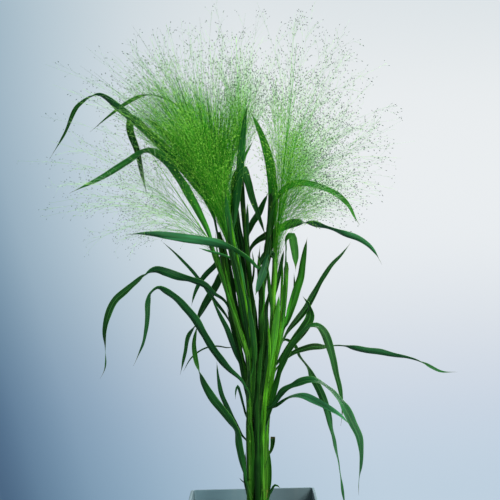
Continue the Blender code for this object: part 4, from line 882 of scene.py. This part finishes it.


# Angles are in degrees from +X, leans in degrees to the back, and lengths in mm. Of each head:
# angle, length: its main axis
# fan, reaches: the lowest and highest angle of its branches, and how far they reach at even steps between
# branches, leans, turn: how many, their leans to the front and back, and what deals them afresh
# fine, fine_fan, lengths: finer branches, their angles, and their lengths as shares of the reach
# longer: how much longer the finer ones are on the fan's high side
# crowd, crowded: the middle and half width of the angles where they crowd, and their share there
# stout, boot: how thick they end as a share of their feet, and how far down the culm they start
# twigs, twig_lengths, stalks: how many and how long
# forked: the share of a branch where its twigs start, and where its stalks do
# core, spread, vivid: the angle and half width of the vivid core, and its reach at its sides and middle
# dullest, seeds: the lowest tone of its hairs, which sets their painted shade and light, and how large its
# spikelets are
PANICLES = {
    "panicle_left": head_of(
        "culm_centre", angle=110, length=240, fan=(76, 152), reaches=(300, 325, 330, 335, 345, 375, 320),
        branches=18, leans=(-52, 28), turn=0.12, fine=330, fine_fan=(78, 142), lengths=(0.5, 0.99),
        crowd=(119, 20), crowded=0.5, boot=60, twigs=1500, twig_lengths=(40, 110), stalks=5500,
        core=112, spread=40, vivid=(130, 255)),
    "panicle_left_dense": head_of(
        "culm_rear_left", angle=104, length=150, fan=(84, 134), reaches=(185, 195, 205, 200), longer=0.28,
        branches=12, leans=(6, 48), turn=0.0, fine=1600, fine_fan=(79, 136), lengths=(0.68, 1.05),
        crowd=(104, 26), crowded=0.5, stout=0.75, boot=40, twigs=1250, twig_lengths=(14, 46), stalks=4000,
        core=110, spread=45, vivid=(215, 270)),
    "panicle_low_left": head_of(
        "culm_left_front", angle=124, length=150, fan=(112, 184), reaches=(130, 200, 260, 322, 270, 170),
        branches=15, leans=(-46, 46), turn=0.0, fine=26, fine_fan=(138, 184), lengths=(0.35, 0.98),
        crowd=(160, 20), crowded=0.1, boot=26, twigs=280, twig_lengths=(40, 110), stalks=1650,
        core=124, spread=20, vivid=(60, 120), dullest=0.4, seeds=0.75),
    "panicle_rear": head_of(
        "culm_rear", angle=92, length=210, fan=(60, 122), reaches=(190, 250, 262, 210),
        branches=12, leans=(-30, 46), turn=0.08, fine=110, fine_fan=(68, 110), lengths=(0.4, 0.8),
        crowd=(92, 14), crowded=0.5, boot=5, twigs=400, twig_lengths=(40, 120), stalks=1800,
        core=92, spread=26, vivid=(60, 110), dullest=0.2),
    "panicle_right": head_of(
        "culm_right", angle=84, length=270, fan=(8, 98), reaches=(150, 235, 255, 310, 345, 330),
        branches=18, leans=(-48, 46), turn=0.0, fine=205, fine_fan=(4, 102), lengths=(0.26, 0.93),
        crowd=(56, 34), crowded=0.15, boot=72, twigs=1400, twig_lengths=(40, 110), stalks=5700,
        core=88, spread=26, vivid=(60, 165), dullest=0.3, forked=(0.25, 0.33)),
}


def aim(angle, lean):
    """Unit vectors in x, h and depth at an angle from +X and a lean to the back, in degrees."""
    angle, lean = np.radians(angle), np.radians(lean)
    back = np.sin(lean) + 0 * angle
    return np.stack([np.cos(angle) * np.cos(lean), np.sin(angle) * np.cos(lean), back], axis=-1)


def axis_way(head):
    return aim(head.angle, sum(head.leans) * AXIS_LEAN_SHARE)


def across_of(ahead):
    """Two unit vectors across each of the ones ahead."""
    first = unit(np.cross(ahead, HAIR_ACROSS))
    return first, np.cross(ahead, first)


def bend_points(lines, shares):
    """Points at shares of curves from a start past a bend to a tip. lines is (count, 3, 3)."""
    s = np.asarray(shares)[..., None]
    start, bend, tip = (lines[:, i, None, :] for i in range(3))
    return start * (1 - s) ** 2 + bend * 2 * s * (1 - s) + tip * s ** 2


def branch_lines(head, way, lean, height, scale, straight, early):
    """Long branches as start, bend and tip, from their angles, leans, heights and bends."""
    ahead, side = axis_way(head), aim(way, between(*head.leans, lean))
    spread = (way - head.fan[0]) / (head.fan[1] - head.fan[0])
    reach = np.interp(spread, np.linspace(0, 1, len(head.reaches)), head.reaches) * scale
    tip = head.neck + side * reach[:, None]
    foot = head.neck + ahead * (head.length * height)[:, None]
    rise = ahead * straight[:, None] + side * (1 - straight[:, None])
    bend = foot + rise * (np.linalg.norm(tip - foot, axis=1) * early)[:, None]
    return np.stack([place(*part.T) for part in (foot, bend, tip)], axis=1)


def closeness_of(head, way):
    """How near each angle is to the head's own axis: 1 on it and 0 at the far side of the fan."""
    return np.maximum(1 - abs(way - head.angle) / max(head.angle - head.fan[0], head.fan[1] - head.angle), 0)


def main_branches(head):
    i = np.arange(head.branches)
    way = between(*head.fan, (i + 0.5) / head.branches)
    height = BRANCH_LOWEST + BRANCH_SPREAD * closeness_of(head, way) * ((i * OTHER_EVEN_STEP + head.turn) % 1)
    flat = np.ones(head.branches)
    lean = (i * EVEN_STEP + head.turn) % 1
    return branch_lines(head, way, lean, height, flat, flat * BRANCH_RISE, flat * BRANCH_BEND)


def fine_branches(head, random):
    """The finer branches, which crowd round one angle. Some start down the culm, inside its top sheath."""
    count, (middle, half) = head.fine, head.crowd
    crowd = np.clip(random.triangular(middle - half, middle, middle + half, count), *head.fine_fan)
    way = np.where(random.uniform(0, 1, count) < head.crowded, crowd, random.uniform(*head.fine_fan, count))
    height = BRANCH_SPREAD * closeness_of(head, way) * random.uniform(0, FINE_FOOT, count)
    scale = random.uniform(*head.lengths, count) * (1 + head.longer * ease(way, *head.fine_fan))
    lean, straight, early = (random.uniform(*ends, count) for ends in ((0, 1), FINE_RISE, FINE_BEND))
    lines = branch_lines(head, way, lean, height, scale, straight, early)
    stem = culm_line(head.culm, CULM_FINE)
    booted = random.uniform(0, 1, count) < BOOT_SHARE
    down = (random.uniform(0, head.boot * MM, count) / np.linalg.norm(stem[-1] - stem[-2])).astype(int)
    turn = random.uniform(0, math.tau, count)
    stand_off = culm_radius(1) + random.uniform(*BOOT_STAND_OFF, count)
    around = np.stack([np.cos(turn), np.sin(turn), 0 * turn], axis=1) * stand_off[:, None]
    lines[booted, 0] = (stem[-1 - down] + around)[booted]
    lines[booted, 1] += around[booted]
    return lines


def forks(lines, count, shares, angles, lengths, random):
    """Curves that fork off others at shares of their length. Angles are in degrees, lengths in metres."""
    parents = np.linalg.norm(lines[:, 2] - lines[:, 0], axis=1)
    owner = random.choice(len(lines), count, p=parents / parents.sum())
    share = random.uniform(*shares, count)[:, None]
    start = bend_points(lines[owner], share)[:, 0]
    ahead = unit(start - bend_points(lines[owner], share - FORK_AHEAD)[:, 0])
    first, second = across_of(ahead)
    angle = np.radians(random.uniform(*angles, count))[:, None]
    roll = random.uniform(0, math.tau, count)[:, None]
    way = ahead * np.cos(angle) + (first * np.cos(roll) + second * np.sin(roll)) * np.sin(angle)
    length = random.uniform(*lengths, count)[:, None] * between(1, FORK_SHORTEST, share)
    return np.stack([start, start + unit(ahead + way) * length * FORK_BEND, start + way * length], axis=1)


def repeated(faces, count, each):
    return (np.asarray(faces)[None] + (np.arange(count) * each)[:, None, None]).reshape(-1, 3)


def hairs(lines, steps, foot_radius, tip_radius):
    """Three-sided hairs along the curves: their points, triangles and how many points each has."""
    middle = bend_points(lines, np.broadcast_to(np.linspace(0, 1, steps + 1), (len(lines), steps + 1)))
    first, second = across_of(unit(np.gradient(middle, axis=1)))
    turn = (math.tau * np.arange(HAIR_SIDES) / HAIR_SIDES)[:, None]
    ring = np.cos(turn) * first[:, :, None] + np.sin(turn) * second[:, :, None]
    points = middle[:, :, None] + ring * np.linspace(foot_radius, tip_radius, steps + 1)[None, :, None, None]
    each = (steps + 1) * HAIR_SIDES
    return points.reshape(-1, 3), repeated(grid_faces(steps + 1, HAIR_SIDES), len(lines), each), each


def spikelets(lines, scale, random):
    """Small pointed seed cases of eight faces, one at the tip of each curve."""
    tips, ways = lines[:, 2], unit(lines[:, 2] - lines[:, 1])
    first, second = across_of(ways)
    size = random.uniform(*SPIKELET_SIZES, len(tips))[:, None] * scale
    middle = tips + ways * SPIKELET_LENGTH * SPIKELET_MIDDLE * size
    width = SPIKELET_WIDTH / 2 * size
    corners = [middle + way * width for way in (first, second, -first, -second)]
    points = np.stack([tips - ways * SPIKELET_SUNK, *corners, tips + ways * SPIKELET_LENGTH * size], axis=1)
    ring = [(1, 2), (2, 3), (3, 4), (4, 1)]
    faces = [(0, b, a) for a, b in ring] + [(5, a, b) for a, b in ring]
    return points.reshape(-1, 3), repeated(faces, len(tips), 6), 6


def hair_finish():
    """Vivid while young and pale later, in light and shade, with a painted glow for the light that comes
    through.
    """
    made = Finish("fine panicle branches", 0.6, 0.1)
    age = made.sums("ADD", made.named("age"), made.sums("MULTIPLY_ADD", made.noise(160, 3), 0.24, -0.12))
    tone = made.sums("ADD", made.named("tone"), made.sums("MULTIPLY_ADD", made.noise(260, 2), 1.1, -0.55))
    body = made.ramp(age, [(0, HAIR_VIVID), (0.45, HAIR_GREEN), (1, HAIR_PALE)])
    body = made.layer(body, HAIR_SHADE, made.stretch(tone, 0.48, 0.12, 0.0, 0.9))
    body = made.layer(body, HAIR_LIGHT, made.stretch(tone, 0.7, 0.95, 0.0, 0.75))
    painted_glow = made.blend(made.stretch(made.named("age"), 0.1, 0.8), HAIR_SHADE, body)
    made.give(made.shader, {"Emission Color": painted_glow, "Emission Strength": HAIR_PAINTED_GLOW})
    return made.paint(body)


def spikelet_finish():
    made = Finish("ripening spikelets", 0.6, 0.2)
    ripe = made.blend(made.stretch(made.noise(230, 2), 0.4, 0.6), SPIKELET_GREEN, SPIKELET_PURPLE)
    young = made.blend(made.stretch(made.named("tone"), 0.3, 0.7), SPIKELET_YOUNG, HAIR_LIGHT)
    return made.paint(made.blend(made.stretch(made.named("age"), 0.0, 0.75), young, ripe))


def make_panicle(name, finishes, random):
    """A head's axis, branches, twigs, stalks and spikelets as one mesh, older further from its neck."""
    head = PANICLES[name]
    stem = culm_line(head.culm, CULM_FINE)
    neck = stem[-1]
    start = neck + unit(neck - stem[-NECK_BACK]) * NECK_GAP
    end = place(*(head.neck + axis_way(head) * head.length))
    long = np.concatenate([main_branches(head), fine_branches(head, random)])
    first_twig, first_stalk = head.forked
    twig_lengths = np.array(head.twig_lengths) * MM
    short = forks(long, head.twigs, (first_twig, TWIG_LAST), TWIG_ANGLES, twig_lengths, random)
    bearers = np.concatenate([short, short, long])
    fine = forks(bearers, head.stalks, (first_stalk, 1.0), STALK_ANGLES, STALK_LENGTHS, random)
    groups = [
        hairs(np.array([[start, (start + end) / 2, end]]), BRANCH_STEPS, AXIS_RADIUS, AXIS_TIP_RADIUS),
        hairs(long, BRANCH_STEPS, BRANCH_RADIUS, BRANCH_RADIUS * head.stout),
        hairs(short, TWIG_STEPS, TWIG_RADIUS, TWIG_RADIUS * HAIR_TIP_SHARE),
        hairs(fine, STALK_STEPS, STALK_RADIUS, STALK_RADIUS * HAIR_TIP_SHARE),
        spikelets(np.concatenate([fine, short]), head.seeds, random),
    ]
    points, faces = joined(groups)
    # each hair's tone sets its painted shade or painted light
    tone = [np.repeat(random.uniform(head.dullest, 1, len(part) // each), each) for part, _, each in groups]
    away = (points - neck) / MM
    from_core = np.degrees(np.arctan2(away[:, 2], away[:, 0])) - head.core
    limit = between(*head.vivid, np.exp(-((from_core / head.spread) ** 2)))
    age = ease(np.linalg.norm(away, axis=1) / limit, *AGES)
    made = mesh_of(name + "_head", points, faces, finishes, age=age, tone=np.concatenate(tone))
    seed_faces = len(groups[-1][1])
    made.data.polygons.foreach_set("material_index", np.repeat([0, 1], [len(faces) - seed_faces, seed_faces]))
    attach(made, "root")
    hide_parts(name)


panicle_finishes = [hair_finish(), spikelet_finish()]
for seed, panicle_name in enumerate(PANICLES, 41):
    make_panicle(panicle_name, panicle_finishes, np.random.default_rng(seed))


# The studio: a pale seamless sweep that runs from the floor up behind the plant, with three plain walls
# round it, lit softly from the upper right. Sweep and walls glow with a painted light that falls off
# towards the lower left, but for the floor round the plant. It isn't part of the object.
SWEEP_FRONT, SWEEP_BEND, SWEEP_RADIUS, SWEEP_TOP, SWEEP_HALF = -8.0, 2.0, 3.0, 8.0, 8.0
SWEEP_BACK = SWEEP_BEND + SWEEP_RADIUS
SWEEP_STEPS = 24
SENSOR_WIDTH, LENS = 36, 96
VIEW_WIDTH = SENSOR_WIDTH / LENS
SWEEP_UP_TONES = [
    # height in the picture from its foot to its top, and the tone there
    (0.0, (0.485, 0.600, 0.705, 1)), (0.10, (0.520, 0.620, 0.725, 1)), (0.22, (0.620, 0.685, 0.780, 1)),
    (0.36, (0.740, 0.780, 0.830, 1)), (0.52, (0.855, 0.880, 0.900, 1)), (0.80, (0.865, 0.885, 0.895, 1)),
    (1.0, (0.735, 0.785, 0.810, 1)),
]
SWEEP_SIDE_TONES = [
    # way in from the left edge, further in where it is lower, and how much of the light is left there
    (0.0, (0.060, 0.140, 0.238, 1)), (0.10, (0.178, 0.298, 0.408, 1)), (0.24, (0.365, 0.497, 0.600, 1)),
    (0.45, (0.590, 0.705, 0.780, 1)), (0.70, (0.860, 0.900, 0.925, 1)), (1.0, (1.0, 1.0, 1.0, 1)),
]
SWEEP_SLANT, SWEEP_RETURN, SWEEP_SIDE_WIDTH = 0.265, 1.5, 0.76
SWEEP_OWN_LIGHT, SWEEP_NEAREST = 0.97, 2.6
SWEEP_BASE, FLOOR_PALE, NO_LIGHT = (0.020, 0.022, 0.024, 1), (0.33, 0.41, 0.48, 1), (0.0, 0.0, 0.0, 1)
FLOOR_NEAR, EVEN_BEFORE = (0.95, 0.45), (0.90, 0.35)
AMBIENT, AMBIENT_STRENGTH = (0.80, 0.90, 1.0, 1), 0.34


def sweep_finish():
    """A pale surface that glows with a painted light, darker towards the lower left, with an evenly lit matt
    floor round the plant.
    """
    made = Finish("pale studio sweep", 0.9, 0.1)
    x, y, z = (made.spot(axis) for axis in "XYZ")
    far = made.sums("MAXIMUM", made.sums("ADD", y, EYE_DISTANCE), SWEEP_NEAREST)
    from_eye = made.sums("SUBTRACT", x, EYE_X), made.sums("SUBTRACT", z, POT_HEIGHT + EYE_ABOVE_RIM)
    across, height = (
        made.sums("MULTIPLY_ADD", made.sums("DIVIDE", way, far), 1 / VIEW_WIDTH, 0.5) for way in from_eye)
    inward = made.sums("DIVIDE", made.sums("MULTIPLY_ADD", height, SWEEP_SLANT, across), SWEEP_SIDE_WIDTH)
    inward = made.sums("MAXIMUM", inward, made.times(inward, -SWEEP_RETURN))
    inward = made.sums("MAXIMUM", inward, made.stretch(y, *EVEN_BEFORE))
    up_tone = made.ramp(height, SWEEP_UP_TONES, "B_SPLINE")
    side_tone = made.ramp(inward, SWEEP_SIDE_TONES, "B_SPLINE")
    from_pot = made.sums("SQRT", made.sums("ADD", made.times(x, x), made.times(y, y)))
    near = made.stretch(from_pot, *FLOOR_NEAR)
    # the painted glow, with none on the floor round the plant
    painted_light = made.blend(near, made.blend(1.0, up_tone, side_tone, "MULTIPLY"), NO_LIGHT)
    made.give(made.shader, {"Emission Color": painted_light, "Emission Strength": SWEEP_OWN_LIGHT})
    return made.paint(made.blend(near, SWEEP_BASE, FLOOR_PALE))


def sweep(finish):
    turns = np.linspace(0, math.pi / 2, SWEEP_STEPS)
    bend = [(SWEEP_BEND + SWEEP_RADIUS * math.sin(a), SWEEP_RADIUS * (1 - math.cos(a))) for a in turns]
    profile = [(SWEEP_FRONT, 0), *bend, (SWEEP_BACK, SWEEP_TOP)]
    points = [(side, y, z) for side in (-SWEEP_HALF, SWEEP_HALF) for y, z in profile]
    count = len(profile)
    faces = [(i, i + count, i + count + 1, i + 1) for i in range(count - 1)]
    return mesh_of("studio_sweep", points, faces, [finish])


def walls(finish):
    """The studio's other three walls."""
    corners = [(SWEEP_HALF, SWEEP_BACK), (SWEEP_HALF, SWEEP_FRONT)]
    corners += [(-x, y) for x, y in corners[::-1]]
    points = [(x, y, z) for x, y in corners for z in (0, SWEEP_TOP)]
    return mesh_of("studio_walls", points, [(i, i + 1, i + 3, i + 2) for i in (0, 2, 4)], [finish])


def area_light(name, spot, target, size, power, colour):
    data = bpy.data.lights.new(name, "AREA")
    data.size, data.energy, data.color = size, power, colour
    made = bpy.data.objects.new(name, data)
    bpy.context.scene.collection.objects.link(made)
    turn = (Vector(target) - Vector(spot)).to_track_quat("-Z", "Y")
    made.matrix_world = Matrix.Translation(spot) @ turn.to_matrix().to_4x4()


studio_tone = sweep_finish()
studio_sweep = sweep(studio_tone)
studio_sweep.visible_diffuse = False
studio_walls = walls(studio_tone)
studio_walls.visible_diffuse = studio_walls.visible_glossy = studio_walls.visible_shadow = False
area_light("key", (1.7, -1.8, 2.1), (0, 0, 0.55), 1.7, 114, (1.0, 0.98, 0.95))
area_light("fill", (-2.2, -2.0, 1.4), (0, 0, 0.5), 2.0, 7, (0.9, 0.95, 1.0))
area_light("back", (1.2, 1.6, 1.9), (0, 0, 0.6), 1.0, 46, (1.0, 1.0, 1.0))
world = bpy.data.worlds.new("studio")
bpy.context.scene.world = world
world.use_nodes = True
world.node_tree.nodes["Background"].inputs["Color"].default_value = AMBIENT
world.node_tree.nodes["Background"].inputs["Strength"].default_value = AMBIENT_STRENGTH
bpy.context.scene.view_settings.view_transform = "Standard"

# The camera stands level with the middle of the plant, two metres in front of the pot, and is turned a
# little about its line of sight. Its long lens keeps the view flat.
lens = bpy.data.cameras.new("camera")
lens.sensor_width, lens.lens = SENSOR_WIDTH, LENS
camera = bpy.data.objects.new("camera", lens)
bpy.context.scene.collection.objects.link(camera)
level, roll = Matrix.Rotation(math.pi / 2, 4, "X"), Matrix.Rotation(-PICTURE_TURN, 4, "Z")
camera.matrix_world = Matrix.Translation((EYE_X, -EYE_DISTANCE, POT_HEIGHT + EYE_ABOVE_RIM)) @ level @ roll
bpy.context.scene.camera = camera
